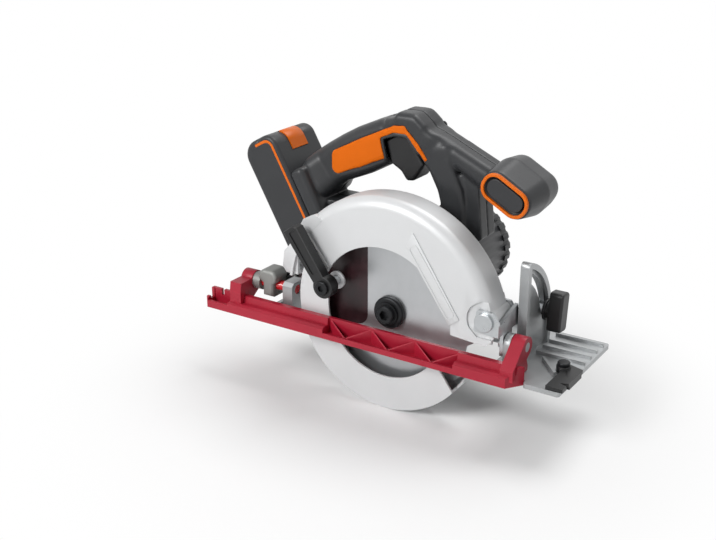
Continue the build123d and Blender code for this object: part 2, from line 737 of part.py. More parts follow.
# Bevel pin at the front and pivot rod at the rear
with BuildPart() as front_pivot_pin:
    rod(across(bracket_x - 2.6), 0, bevel_z, 5.6, 2.2)
    rod(across(bracket_x - 0.4), 0, bevel_z, bevel_pin_r, quadrant_x + ear_front + 0.4 - bracket_x)
front_pivot_pin.part.label = "front_pivot_pin"
export_step(front_pivot_pin.part, "parts/front_pivot_pin.step")

with BuildPart() as rear_pivot_rod:
    rod(across(-158), 0, bevel_z, bevel_rod_r, 58.4)
    chamfer(rear_pivot_rod.faces().sort_by(Axis.X)[0].edges(), 0.8)
rear_pivot_rod.part.label = "rear_pivot_rod"
export_step(rear_pivot_rod.part, "parts/rear_pivot_rod.step")

# Guide bar: a stepped rail, open over zigzag ribs in the middle, with an ear on each bevel pivot
bar_open_rear = -52.0
bar_open_front = 76.0
bar_tray_front = -158.0
with BuildPart() as guide_ribs:
    rib_run = (bar_open_front - bar_open_rear) / 6
    for step in range(6):
        first_x = bar_open_rear + rib_run * step
        near_y, far_y = (-17.5, -27.5) if step % 2 == 0 else (-27.5, -17.5)
        last_x = first_x + rib_run
        rib = [(first_x, near_y), (first_x + 1.8, near_y), (last_x + 1.8, far_y), (last_x, far_y)]
        slab(level(bar_floor - 1), rib, bar_high)
    slope = [(-28, 1), (-28, bar_lip - 0.8), (-17, bar_high - 1), (-17, 1)]
    slab(across(bar_open_rear + 0.2), slope, bar_open_front - bar_open_rear - 0.4, Mode.INTERSECT)

with BuildPart() as guide_bar:
    profile = [
        (bar_out, 0), (bar_out, bar_low - 1.5), (bar_out + 3, bar_low), (bar_step, bar_low),
        (bar_step + 1, bar_high), (bar_in, bar_high), (bar_in, 0),
    ]
    slab(across(bar_rear), profile, bar_front - bar_rear)
    # Slanting front end and chamfered rear end
    slant = [(bar_front - 11, -30.4), (bar_front + 7, -30.4), (bar_front + 7, -5.2)]
    slab(level(-1), slant, 30, Mode.SUBTRACT)
    slab(level(-1), [(bar_rear - 1, -30), (bar_rear + 3, -30), (bar_rear - 1, -25.5)], 30, Mode.SUBTRACT)
    # Open middle with a low lip, and the open tray at the rear
    for start_x, end_x, front_y, lip in (
        (bar_open_rear, bar_open_front, -27, bar_lip),
        (bar_rear + 3, bar_tray_front, -26.6, bar_lip + 2),
    ):
        slab(level(bar_floor), oblong(start_x, front_y, end_x, -18), 30, Mode.SUBTRACT)
        slab(level(lip), oblong(start_x, -31, end_x, front_y), 30, Mode.SUBTRACT)
    slab(level(bar_lip + 2), oblong(bar_rear - 1, -24, bar_rear + 4, -19), 30, Mode.SUBTRACT)
    slab(level(bar_low), oblong(-173, -19, -170, -14), 30, Mode.SUBTRACT)
    add(guide_ribs.part)
    # Hollow underside of the closed lengths
    for start_x, end_x in ((-136, bar_open_rear - 3), (bar_open_front + 4, quadrant_x + 2)):
        slab(level(-1), oblong(start_x, -26, end_x, -17.5), bar_low - 1.5, Mode.SUBTRACT)
    # Ears on the bevel axis: an upright plate with a boss at the rear, a leaning lug at the front
    rear_ear_x = -157.0
    rear_ear = [(-25.5, 5), (-25.5, 20), (-24, 29.3), (4, 29.3), (7, 20), (-15.5, 5)]
    slab(across(rear_ear_x), rear_ear, 12.5)
    rod(across(rear_ear_x), 0, bevel_z, ear_r, 12.5)
    with BuildSketch(across(quadrant_x + 5.5)) as ear_face:
        with Locations((0, bevel_z)):
            Circle(ear_r)
        with Locations((-21, 9.3)):
            Rectangle(10, 9.4)
        make_hull()
    extrude(ear_face.sketch, amount=ear_front - 5.5)
    rod(across(-170), 0, bevel_z, bevel_rod_r + seat, 60, Mode.SUBTRACT)
    rod(across(lug_front_x - 10), 0, bevel_z, bevel_pin_r + seat, 60, Mode.SUBTRACT)
guide_bar.part.label = "guide_bar"
export_step(guide_bar.part, "parts/guide_bar.step")

# Sight insert on the front of the sole, notched for the line of cut
with BuildPart() as sight_insert:
    insert_plan = [
        (-12, -19.5), (2.5, -19.5), (2.5, -12), (-4, -9.5), (2.5, -7), (2.5, 22), (-13, 27), (-19, 25),
        (-19, 19), (-12, 10),
    ]
    insert_front = sole_front + 2.5
    slab(level(sole_t), [(sole_front + x, y) for x, y in insert_plan], 3.4)
    slab(level(1), [(sole_front, -5), (insert_front, -5), (insert_front, 20), (sole_front, 20)], 4)
    rod(level(sole_t), sight_x, sight_y, 6.0, 5.4)
    rod(level(-1), sight_x, sight_y, 2.5 + seat, 20, Mode.SUBTRACT)
sight_insert.part.label = "sight_insert"
export_step(sight_insert.part, "parts/sight_insert.step")

with BuildPart() as sight_screw:
    rod(level(0.4), sight_x, sight_y, 2.5 - seat, 9)
    rod(level(9.4), sight_x, sight_y, 5.2, 3.2)
    fillet(sight_screw.faces().sort_by(Axis.Z)[-1].edges(), 1.0)
sight_screw.part.label = "sight_screw"
export_step(sight_screw.part, "parts/sight_screw.step")

# Rear tilt bracket: knuckle on the pivot rod and a lug for the depth link
with BuildPart() as rear_tilt_bracket:
    knuckle = [
        (-136.5, 31), (-136.5, 41), (-117, 41), (-117, 31), (-120, 28), (-120, 16), (-132, 16), (-132, 28),
    ]
    with BuildSketch(side(9)) as knuckle_face:
        with BuildLine():
            Polyline(*knuckle, close=True)
        make_face()
        fillet(knuckle_face.vertices().group_by(Axis.Y)[-1], 6.5)
    extrude(amount=18)
    fillet(rear_tilt_bracket.faces().sort_by(Axis.Y)[0].edges(), 3)
    slab(across(-126), [(0, 18), (link_y, 18), (link_y, 35), (0, 37)], 4)
    slab(side(link_y), [(-126, 18), (-111.4, 18), (-111.4, 35), (-126, 35)], 3)
    rod(across(-140), 0, bevel_z, bevel_rod_r + run, 30, Mode.SUBTRACT)
    for rivet_z in (22.4, 30.8):
        rod(side(40), rivet_x, rivet_z, 2.0, 40, Mode.SUBTRACT)
rear_tilt_bracket.part.label = "rear_tilt_bracket"
export_step(rear_tilt_bracket.part, "parts/rear_tilt_bracket.step")

# Depth link: arc plate about the depth pivot with a slot, and a tail to the rear bracket
with BuildPart() as depth_link:
    pivot_plane = Plane(origin=(pivot_x, link_y + link_t, pivot_z), x_dir=(1, 0, 0), z_dir=(0, -1, 0))
    with BuildSketch(pivot_plane):
        with BuildLine(mode=Mode.PRIVATE) as link_path:
            CenterArc((0, 0), link_r, 180 - 24, 34)
        SlotArc(link_path.edges()[0], link_w)
    extrude(amount=link_t)
    slab(side(link_y + link_t), [(-125.5, 18.4), (-56, 13), (-56, 26), (-72, 34.6), (-125.5, 34.6)], link_t)
    with BuildSketch(pivot_plane):
        with BuildLine(mode=Mode.PRIVATE) as link_slot:
            CenterArc((0, 0), link_r, 180 - 22, 28)
        SlotArc(link_slot.edges()[0], 2 * (lock_stud_r + 0.3))
    extrude(amount=link_t, mode=Mode.SUBTRACT)
    for rivet_z in (22.4, 30.8):
        rod(side(40), rivet_x, rivet_z, 2.0, 40, Mode.SUBTRACT)
depth_link.part.label = "depth_link"
export_step(depth_link.part, "parts/depth_link.step")

with BuildPart() as link_rivets:
    for rivet_z in (22.4, 30.8):
        rod(side(link_y + link_t), rivet_x, rivet_z, 2.0 - seat, link_t + 3)
        rod(side(link_y + link_t + 1.2), rivet_x, rivet_z, 3.2, 1.2)
        rod(side(link_y - 3), rivet_x, rivet_z, 3.2, 1.2)
link_rivets.part.label = "link_rivets"
export_step(link_rivets.part, "parts/link_rivets.step")

# Depth lock: stud on the guard and the lever that clamps the link
with BuildPart() as depth_lock_stud:
    rod(side(33), stud_x, stud_z, lock_stud_r, 33 - guard_left + 2.5)
    rod(side(guard_left - 2.5), stud_x, stud_z, 6.0, 2.0)
depth_lock_stud.part.label = "depth_lock_stud"
export_step(depth_lock_stud.part, "parts/depth_lock_stud.step")

lock_lever_y = link_y + link_t + gap
with BuildPart() as depth_lock_lever:
    rod(side(lock_lever_y + 10), stud_x, stud_z, 9.5, 10)
    with BuildSketch(side(lock_lever_y + 10)):
        with Locations((stud_x, stud_z)):
            Circle(7.5)
        with Locations((stud_x - 38, stud_z + 16)):
            Circle(6.0)
        make_hull()
    extrude(amount=6)
    fillet(depth_lock_lever.faces().sort_by(Axis.Y)[-1].edges(), 1.2)
    rod(side(60), stud_x, stud_z, lock_stud_r + run, 60, Mode.SUBTRACT)
depth_lock_lever.part.label = "depth_lock_lever"
export_step(depth_lock_lever.part, "parts/depth_lock_lever.step")

# Motor housing, a ribbed tube with air slots
with BuildPart() as motor_housing:
    tube(motor(motor_left), 0, 0, motor_r, motor_r - motor_wall, motor_left - case_rear)
    with Locations(motor(42)):
        with PolarLocations(motor_r - 1, 11, start_angle=205, angular_range=130):
            Box(8, 4.4, 9, mode=Mode.SUBTRACT)
motor_housing.part.label = "motor_housing"
export_step(motor_housing.part, "parts/motor_housing.step")

# End cap with a scalloped rim, air slots and the seat of the rear bearing
with BuildPart() as motor_end_cap:
    rod(motor(cap_left), 0, 0, motor_r + cap_rim, cap_left - motor_left)
    fillet(motor_end_cap.faces().sort_by(Axis.Y)[-1].edges(), 5.0)
    rod(motor(cap_left - 3), 0, 0, motor_r - motor_wall, 20, Mode.SUBTRACT)
    rod(motor(cap_left - 1), 0, 0, 11.0, cap_left - 1 - 110.6)
    rod(motor(117.2), 0, 0, motor_bearing_r + seat, 20, Mode.SUBTRACT)
    rod(motor(cap_left - 4), 0, 0, shaft_r + 1.0, 20, Mode.SUBTRACT)
    with BuildSketch(motor(cap_left + 1)):
        with PolarLocations(motor_r + scallop_r, scallop_count):
            Circle(scallop_r)
    extrude(amount=cap_left + 2 - motor_left, mode=Mode.SUBTRACT)
    with BuildSketch(motor(cap_left + 1)):
        with PolarLocations(25, 10):
            SlotOverall(20, 4)
    extrude(amount=8, mode=Mode.SUBTRACT)
motor_end_cap.part.label = "motor_end_cap"
export_step(motor_end_cap.part, "parts/motor_end_cap.step")

# Motor: stator ring, armature, commutator, fan, shaft with pinion and bearings
with BuildPart() as stator:
    tube(motor(core_left), 0, 0, motor_r - motor_wall - seat, stator_in_r, core_len)
stator.part.label = "stator"
export_step(stator.part, "parts/stator.step")

with BuildPart() as armature:
    rod(motor(core_left), 0, 0, core_r, core_len)
    with BuildSketch(motor(core_left)):
        with PolarLocations(core_r - 4, 12):
            SlotOverall(14, 3)
    extrude(amount=core_len, mode=Mode.SUBTRACT)
    rod(motor(core_left), 0, 0, shaft_r + seat, core_len, Mode.SUBTRACT)
armature.part.label = "armature"
export_step(armature.part, "parts/armature.step")

with BuildPart() as commutator:
    tube(motor(109), 0, 0, 11.0, shaft_r + seat, 11)
commutator.part.label = "commutator"
export_step(commutator.part, "parts/commutator.step")

with BuildPart() as motor_fan:
    rod(motor(47), 0, 0, 36.0, 1.6)
    rod(motor(47), 0, 0, 8.0, 10)
    with Locations(motor(41.2)):
        with PolarLocations(22, 11):
            Box(26, 1.6, 8.4)
    rod(motor(50), 0, 0, shaft_r + seat, 20, Mode.SUBTRACT)
motor_fan.part.label = "motor_fan"
export_step(motor_fan.part, "parts/motor_fan.step")

with BuildPart() as motor_shaft:
    rod(motor(116.8), 0, 0, shaft_r, 116.8 - case_rear - 0.6)
    rod(motor(case_rear + 0.6), 0, 0, shaft_nose_r, case_rear + 0.6 - gear_y)
    with BuildSketch(motor(gear_y)):
        with BuildLine():
            Polyline(*gear_points(pinion_teeth, 5.4, 3.3, gear_line + pi + pi / pinion_teeth), close=True)
        make_face()
    extrude(amount=gear_w)
motor_shaft.part.label = "motor_shaft"
export_step(motor_shaft.part, "parts/motor_shaft.step")

with BuildPart() as motor_bearings:
    tube(motor(case_rear - 0.2), 0, 0, motor_bearing_r, shaft_nose_r + run, 5.4)
    tube(motor(117), 0, 0, motor_bearing_r, shaft_r + run, 6)
motor_bearings.part.label = "motor_bearings"
export_step(motor_bearings.part, "parts/motor_bearings.step")


def stub_plane(y, way):
    """Plane across the front handle, its normal to the right (-1) or to the left (1)."""
    tilt = radians(stub_tilt)
    return Plane(origin=(stub_x, y, stub_z), x_dir=(cos(tilt), 0, sin(tilt)), z_dir=(0, way, 0))


def stub_body(grow):
    """Bar of the front handle, a rounded block that gets smaller both ways from its middle."""
    with BuildPart() as body:
        section_faces = []
        for y, share in ((stub_right - grow, 1), (stub_middle, 0), (stub_left + grow, 0.6)):
            with BuildSketch(stub_plane(y, -1)) as section_face:
                long = stub_long - stub_shrink * share + 2 * grow
                short = stub_short - stub_flatten * share + 2 * grow
                RectangleRounded(long, short, stub_round - 2.4 * share + grow)
            section_faces.append(section_face.sketch)
        loft(section_faces, ruled=True)
        fillet(body.faces().sort_by(Axis.Y)[-1].edges(), 8.0)
        fillet(body.faces().sort_by(Axis.Y)[0].edges(), 1.0)
    return body.part


# Front stub handle with its end ring and recessed cap
ring_long = 44.0
ring_short = 24.6
ring_round = 11.5
ring_w = 2.8
with BuildPart() as front_handle:
    add(stub_body(0))
    with BuildSketch(stub_plane(stub_right + stub_pocket, -1)):
        RectangleRounded(ring_long - 2 * ring_w, ring_short - 2 * ring_w, ring_round - ring_w)
    extrude(amount=10, mode=Mode.SUBTRACT)
front_handle.part.label = "front_handle"
export_step(front_handle.part, "parts/front_handle.step")

with BuildPart() as front_handle_ring:
    with BuildSketch(stub_plane(stub_right, -1)):
        RectangleRounded(ring_long, ring_short, ring_round)
    extrude(amount=2.4)
    fillet(front_handle_ring.faces().sort_by(Axis.Y)[0].edges(), 1.0)
    with BuildSketch(stub_plane(stub_right, -1)):
        RectangleRounded(ring_long - 2 * ring_w, ring_short - 2 * ring_w, ring_round - ring_w)
    extrude(amount=10, mode=Mode.SUBTRACT)
front_handle_ring.part.label = "front_handle_ring"
export_step(front_handle_ring.part, "parts/front_handle_ring.step")

with BuildPart() as front_handle_cap:
    with BuildSketch(stub_plane(stub_right + stub_pocket, -1)):
        RectangleRounded(ring_long - 2 * ring_w - 4, ring_short - 2 * ring_w - 4, ring_round - ring_w - 1.5)
    extrude(amount=stub_pocket + 0.8)
    fillet(front_handle_cap.faces().sort_by(Axis.Y)[0].edges(), 0.8)
front_handle_cap.part.label = "front_handle_cap"
export_step(front_handle_cap.part, "parts/front_handle_cap.step")

# Outlines of the D handle, seen from the right
rail_top = on_rail(rail_len, 0)
grip_hollow = [
    (-92, 112), (-106, 126), (-102, 138), (-70, 163), (-31, 179), (-20, 185), (0, 187), (11, 182), (19, 168),
    (29, 147), (37, 130), (39, 112), (31, 112), (31, 124), (26, 138), (16, 154), (-14, 156), (-36, 147.5),
    (-50, 140.5), (-64, 134), (-82, 128),
]
trigger_window = [
    (-25.4, 138), (-27.6, 152), (-31, 167), (-19, 171), (-9, 171), (9, 151), (9, 144), (-5, 138),
]
panel = [
    (-83.3, 146), (-83.5, 134.4), (-77.1, 128.9), (-54.4, 136.7), (-30.4, 147.6), (-29.6, 152), (-33.4, 168),
    (-20, 174), (-7.6, 174), (10.4, 153), (13.6, 155), (4.6, 168), (-9.8, 181.5), (-19, 181.5),
    (-54.4, 164.6), (-79.6, 151.4),
]
screw_spots = [(-96, 128), (9, 178), (34.5, 124)]

# Limbs of the handle: upper and lower point of each section, and its half width
grip_sections = [
    ((-117, 128), (-95, 101), foot_half - 2),
    ((-111, 139), (-86, 109), grip_half + 7),
    ((-102, 147.2), (-79, 117), grip_half),
    ((-91, 154.8), (-72, 122), grip_half),
    ((-77, 163.6), (-60, 127), grip_half),
    ((-62, 172), (-47, 132.6), grip_half),
    ((-46.5, 179), (-32, 141), grip_half),
    ((-31, 185.4), (-17, 149), grip_half),
    ((-8, 188), (-4, 153), grip_half),
]
pommel_sections = [
    ((-32, 186.4), (-15, 150), grip_half),
    ((-27, 190.2), (-11, 151), grip_half + 0.3),
    ((-18, 191.8), (-6, 153), grip_half + 0.3),
    ((-1, 192.3), (3, 156), grip_half + 0.3),
    ((8, 189.3), (8, 159), grip_half + 0.3),
    ((17, 181), (12, 159), grip_half),
    ((23, 176.4), (17, 157), grip_half - 2),
]
leg_sections = [
    ((31, 171), (2, 160), grip_half - 0.3),
    ((37, 151), (14, 145), grip_half - 0.3),
    ((46, 134), (22, 130), grip_half - 0.3),
    ((48.5, 120), (25, 120), grip_half - 0.3),
    ((48.5, 108), (25, 108), grip_half - 0.3),
    ((48, 94), (24, 96), grip_half - 0.3),
]
beam_sections = [
    ((16, 179.6), (20, 158), grip_half - 2),
    ((45.5, 166), (42, 147), grip_half - 2),
    ((75, 152.6), (65, 133.5), grip_half - 2),
]
handle_limbs = ((grip_sections, 11.0), (pommel_sections, 6.0), (leg_sections, 4.0), (beam_sections, 8.0))


def handle_body(grow):
    """Grip, pommel, leg and beam of the handle with all their faces moved out by a margin."""
    with BuildPart() as body:
        for sections, corner in handle_limbs:
            section_faces = []
            for high, low, half in sections:
                rise = Vector(high[0] - low[0], 0, high[1] - low[1])
                centre = ((high[0] + low[0]) / 2, hand_y, (high[1] + low[1]) / 2)
                section_plane = Plane(origin=centre, x_dir=(0, 1, 0), z_dir=Vector(0, 1, 0).cross(rise))
                with BuildSketch(section_plane) as section_face:
                    RectangleRounded(2 * (half + grow), rise.length + 2 * grow, corner + grow)
                section_faces.append(section_face.sketch)
            loft(section_faces, ruled=True)
    return body.part


# Foot of the handle, a column with a rounded front
with BuildPart() as foot_block:
    with BuildSketch(rail(0)) as column_face:
        with Locations((foot_shift, -foot_depth / 2)):
            Rectangle(2 * foot_half, foot_depth)
        fillet(column_face.vertices().group_by(Axis.Y)[0].sort_by(Axis.X)[-1], 12.5)
        fillet(column_face.vertices().group_by(Axis.Y)[0].sort_by(Axis.X)[0], 6)
    extrude(amount=rail_len + 4)
    fillet(foot_block.faces().sort_by(Axis.Z)[-1].edges(), 4)

with BuildPart() as handle_shell:
    add(handle_body(0))
    # Strut, deck over the motor and the wider foot
    slab(side(hand_y + 13), [(40, 146), (58, 146), (64, 93), (54, 86), (40, 86)], 26)
    slab(side(hand_y + grip_half), [(-92, 104), (48, 104), (54, 86), (-50, 78), (-84, 76)], 2 * grip_half)
    add(foot_block.part)
    # Hollow, trigger opening and saddle on the motor housing
    hollow_half = grip_half - grip_wall
    slab(side(hand_y + hollow_half), grip_hollow, 2 * hollow_half, Mode.SUBTRACT)
    slab(side(hand_y + 40), trigger_window, 80, Mode.SUBTRACT)
    rod(motor(150), 0, 0, motor_r + seat, 150, Mode.SUBTRACT)
    # Pocket of the terminal block
    with BuildSketch(rail(-1)) as pocket_face:
        with Locations((0, -2)):
            Rectangle(2 * (pocket_half + seat), 6 + 2 * seat)
    extrude(pocket_face.sketch, amount=rail_len + 1 - 5, mode=Mode.SUBTRACT)
    # Screw posts inside the hollow and the seat of the front handle
    for spot in screw_spots:
        rod(side(hand_y + grip_half - 2), spot[0], spot[1], 4.5, 2 * grip_half - 4)
        rod(side(hand_y + grip_half + 1), spot[0], spot[1], 2.0, 2 * grip_half - 3, Mode.SUBTRACT)
        rod(side(hand_y + grip_half + 1), spot[0], spot[1], 3.9, 4, Mode.SUBTRACT)
    add(stub_body(seat), mode=Mode.SUBTRACT)
middle = Plane(origin=(0, hand_y, 0), x_dir=(1, 0, 0), z_dir=(0, -1, 0))
panel_right_y = hand_y - grip_half
panel_left_y = hand_y + grip_half
panel_floor = handle_body(-panel_depth)
panel_skin = handle_body(panel_proud)
with BuildPart() as panel_pocket_right:
    slab(side(panel_right_y + 12), panel, 24, radius=1.0)
    add(panel_floor, mode=Mode.SUBTRACT)
with BuildPart() as panel_pocket_left:
    slab(side(panel_left_y + 12), panel, 24, radius=1.0)
    add(panel_floor, mode=Mode.SUBTRACT)
with BuildPart() as handle_right:
    add(handle_shell.part)
    split(bisect_by=middle, keep=Keep.TOP)
    add(panel_pocket_right.part, mode=Mode.SUBTRACT)
handle_right.part.label = "handle_right"
export_step(handle_right.part, "parts/handle_right.step")

with BuildPart() as handle_left:
    add(handle_shell.part)
    split(bisect_by=middle, keep=Keep.BOTTOM)
    add(panel_pocket_left.part, mode=Mode.SUBTRACT)
    rod(side(panel_left_y + 10), lock_off_x, lock_off_z, lock_off_r + gap, 20, Mode.SUBTRACT)
handle_left.part.label = "handle_left"
export_step(handle_left.part, "parts/handle_left.step")

# Screws of the handle shells
with BuildPart() as handle_screws:
    for spot in screw_spots:
        rod(side(panel_left_y - 3), spot[0], spot[1], 2.0 - seat, 2 * grip_half - 8)
        rod(side(panel_left_y - 1), spot[0], spot[1], 3.6, 2)
handle_screws.part.label = "handle_screws"
export_step(handle_screws.part, "parts/handle_screws.step")

# Soft grip panels let into both sides of the handle and following its rounded faces
with BuildPart() as grip_panel_right:
    add(panel_pocket_right.part)
    add(panel_skin, mode=Mode.INTERSECT)
grip_panel_right.part.label = "grip_panel_right"
export_step(grip_panel_right.part, "parts/grip_panel_right.step")

with BuildPart() as grip_panel_left:
    add(panel_pocket_left.part)
    add(panel_skin, mode=Mode.INTERSECT)
    rod(side(panel_left_y + 10), lock_off_x, lock_off_z, lock_off_r + gap, 40, Mode.SUBTRACT)
grip_panel_left.part.label = "grip_panel_left"
export_step(grip_panel_left.part, "parts/grip_panel_left.step")

# Trigger with a finger lobe; its upper part slides inside the handle
with BuildPart() as trigger:
    trigger_side = [
        (-24.6, 145.6), (-26.4, 151), (-30.6, 165), (-19, 173), (-9, 172), (7.5, 149), (-2.6, 133.4),
        (-9.6, 132.6), (-15.4, 140.4),
    ]
    trigger_half = grip_half - grip_wall - gap
    slab(side(hand_y + trigger_half), trigger_side, 2 * trigger_half, radius=2.4)
    fillet(trigger.edges().filter_by(Axis.Y, reverse=True).filter_by(lambda edge: edge.center().Z < 147), 1.8)
trigger.part.label = "trigger"
export_step(trigger.part, "parts/trigger.step")

# Lock-off button for the thumb
with BuildPart() as lock_off_button:
    rod(side(panel_left_y + 4), lock_off_x, lock_off_z, lock_off_r, 10)
    fillet(lock_off_button.faces().sort_by(Axis.Y)[-1].edges(), 1.2)
lock_off_button.part.label = "lock_off_button"
export_step(lock_off_button.part, "parts/lock_off_button.step")

# Switch inside the grip
with BuildPart() as switch_module:
    switch_side = [(-66, 141), (-44, 151.5), (-50, 164), (-72, 153.5)]
    slab(side(hand_y + grip_half - grip_wall - seat), switch_side, 2 * (grip_half - grip_wall - seat))
switch_module.part.label = "switch_module"
export_step(switch_module.part, "parts/switch_module.step")

# Terminal block of the foot, with the T rail of the battery
with BuildPart() as terminal_block:
    with BuildSketch(rail(0)):
        with Locations((0, -2.5)):
            Rectangle(2 * pocket_half, 5)
        with Locations((0, 3)):
            Rectangle(2 * rail_neck, 6)
        with Locations((0, 8)):
            Rectangle(2 * rail_head, 4)
    extrude(amount=rail_len - 5 - seat)
terminal_block.part.label = "terminal_block"
export_step(terminal_block.part, "parts/terminal_block.step")


def pack_shape(grow):
    """Outside of the battery pack, rounded over its top, with its faces moved out by a margin."""
    front_n = 0.3 - grow
    rear_n = 0.3 + pack_t + grow
    top_u = pack_len + grow
    with BuildPart() as shape:
        with BuildSketch(side(pack_y + pack_w / 2 + grow)) as outline:
            front_top = on_rail(top_u, front_n)
            rear_top = on_rail(top_u, rear_n)
            with BuildLine():
                Polyline(on_rail(-1, front_n), front_top, rear_top, on_rail(-1, rear_n), close=True)
            make_face()
            fillet(outline.vertices().sort_by_distance(Vector(*front_top))[0], pack_front_round + grow)
            fillet(outline.vertices().sort_by_distance(Vector(*rear_top))[0], pack_rear_round + grow)
        extrude(amount=pack_w + 2 * grow)
        rims = []
        for wall in (shape.faces().sort_by(Axis.Y)[0], shape.faces().sort_by(Axis.Y)[-1]):
            rims.extend(wall.edges().sort_by(lambda edge: edge.center().Z)[1:])
        fillet(rims, pack_edge)
    return shape.part


# Battery pack: rounded case in two shells over the cells, with a channel for the rail
with BuildPart() as pack:
    add(pack_shape(0))
    with BuildSketch(rail(-2)):
        with Locations((0, 3)):
            Rectangle(2 * (rail_neck + gap), 7)
        with Locations((0, 8)):
            Rectangle(2 * (rail_head + gap), 4 + 2 * gap)
    extrude(amount=rail_len + 1, mode=Mode.SUBTRACT)
    with BuildSketch(rail(1.5)):
        with Locations((0, cell_n)):
            Rectangle(cell_len + 1, 2 * cell_r + 0.4)
    extrude(amount=pack_len - 6, mode=Mode.SUBTRACT)
    button_room = button_deep + button_press + 0.7
    with BuildSketch(rail(button_u)):
        with Locations((0, button_room / 2 - 2)):
            Rectangle(2 * (button_half + gap), button_room + 4)
    extrude(amount=40, mode=Mode.SUBTRACT)
pack_split = Plane(origin=on_rail_point(pack_split_n), x_dir=(0, 1, 0), z_dir=rail_back)
with BuildPart() as battery_case_front:
    add(pack.part)
    split(bisect_by=pack_split, keep=Keep.BOTTOM)
battery_case_front.part.label = "battery_case_front"
export_step(battery_case_front.part, "parts/battery_case_front.step")

with BuildPart() as battery_case_rear:
    add(pack.part)
    split(bisect_by=pack_split, keep=Keep.TOP)
battery_case_rear.part.label = "battery_case_rear"
export_step(battery_case_rear.part, "parts/battery_case_rear.step")

with BuildPart() as battery_cells:
    for index in range(cell_count):
        spot = on_rail(1.5 + cell_r + 0.4 + cell_pitch * index, cell_n)
        rod(side(pack_y + cell_len / 2), spot[0], spot[1], cell_r, cell_len)
battery_cells.part.label = "battery_cells"
export_step(battery_cells.part, "parts/battery_cells.step")

# Release button of the battery, wrapped over its rounded top
with BuildPart() as battery_release_button:
    with BuildSketch(rail(button_u + gap)):
        with Locations((0, button_deep / 2 - 2)):
            RectangleRounded(2 * button_half, button_deep + 4, 1.0)
    extrude(amount=40)
    add(pack_shape(0.8), mode=Mode.INTERSECT)
battery_release_button.part.label = "battery_release_button"
export_step(battery_release_button.part, "parts/battery_release_button.step")
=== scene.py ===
import json
from math import cos, exp, pi, radians, sin

import bmesh
import bpy
from bpy.props import FloatProperty, FloatVectorProperty, IntProperty, PointerProperty
from mathutils import Matrix, Vector


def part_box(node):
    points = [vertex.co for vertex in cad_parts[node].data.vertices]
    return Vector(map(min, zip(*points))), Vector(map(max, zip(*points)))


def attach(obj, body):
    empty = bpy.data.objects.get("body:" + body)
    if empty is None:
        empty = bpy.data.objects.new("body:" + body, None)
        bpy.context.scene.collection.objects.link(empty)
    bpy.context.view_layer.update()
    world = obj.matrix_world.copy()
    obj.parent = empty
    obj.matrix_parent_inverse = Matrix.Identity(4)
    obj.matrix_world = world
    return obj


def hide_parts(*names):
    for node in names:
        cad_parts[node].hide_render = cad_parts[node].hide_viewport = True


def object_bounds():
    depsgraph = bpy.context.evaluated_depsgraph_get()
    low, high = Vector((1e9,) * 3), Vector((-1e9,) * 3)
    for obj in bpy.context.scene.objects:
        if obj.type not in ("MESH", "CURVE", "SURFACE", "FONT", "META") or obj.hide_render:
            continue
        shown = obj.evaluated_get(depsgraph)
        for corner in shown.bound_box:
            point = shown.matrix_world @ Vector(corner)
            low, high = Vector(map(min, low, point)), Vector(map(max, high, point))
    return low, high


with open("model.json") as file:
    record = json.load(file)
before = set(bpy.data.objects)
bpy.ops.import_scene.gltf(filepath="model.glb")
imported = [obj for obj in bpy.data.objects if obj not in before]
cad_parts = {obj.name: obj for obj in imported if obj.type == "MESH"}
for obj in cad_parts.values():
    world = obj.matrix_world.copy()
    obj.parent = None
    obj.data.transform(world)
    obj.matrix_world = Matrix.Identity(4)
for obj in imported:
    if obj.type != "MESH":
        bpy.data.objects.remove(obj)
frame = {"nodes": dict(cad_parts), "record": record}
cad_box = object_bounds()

bl_info = {
    "name": "Cordless circular saw",
    "version": (1, 0, 0),
    "blender": (4, 5, 0),
    "location": "View3D > Sidebar > Saw",
    "description": "Finishes and small details of a cordless circular saw, and its studio",
    "category": "Object",
}

MM = 0.001

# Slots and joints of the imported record
NODE_SLOT = {row["node"]: row["material_slot"] for row in frame["record"]["subparts"]}
JOINTS = {row["name"]: row for row in frame["record"]["behaviour"]["joints"]}

# Outer faces of the guard's right wall and of its raised band, and the handle's seam, in mm across the saw
GUARD_FACE = -16.0
BAND_FACE = -17.0
HANDLE_SEAM = 52

# Foot of the battery rail in side view, in mm
RAIL_FOOT = (-88, 74.3)

# Edges sharper than this stay sharp, and points nearer than this are one
SHARP_ANGLE = radians(32)
SEAM_GAP = 0.002 * MM


# Values that a user would change

def linear(code):
    """Linear colour of an sRGB hex value."""
    parts = [int(code[place:place + 2], 16) / 255 for place in (0, 2, 4)]
    return [part / 12.92 if part <= 0.04045 else ((part + 0.055) / 1.055) ** 2.4 for part in parts]


def colour_property(name, description, code):
    """Colour value with its default written as sRGB hex."""
    return FloatVectorProperty(
        name=name, description=description, subtype="COLOR", size=3, min=0, max=1, default=linear(code))


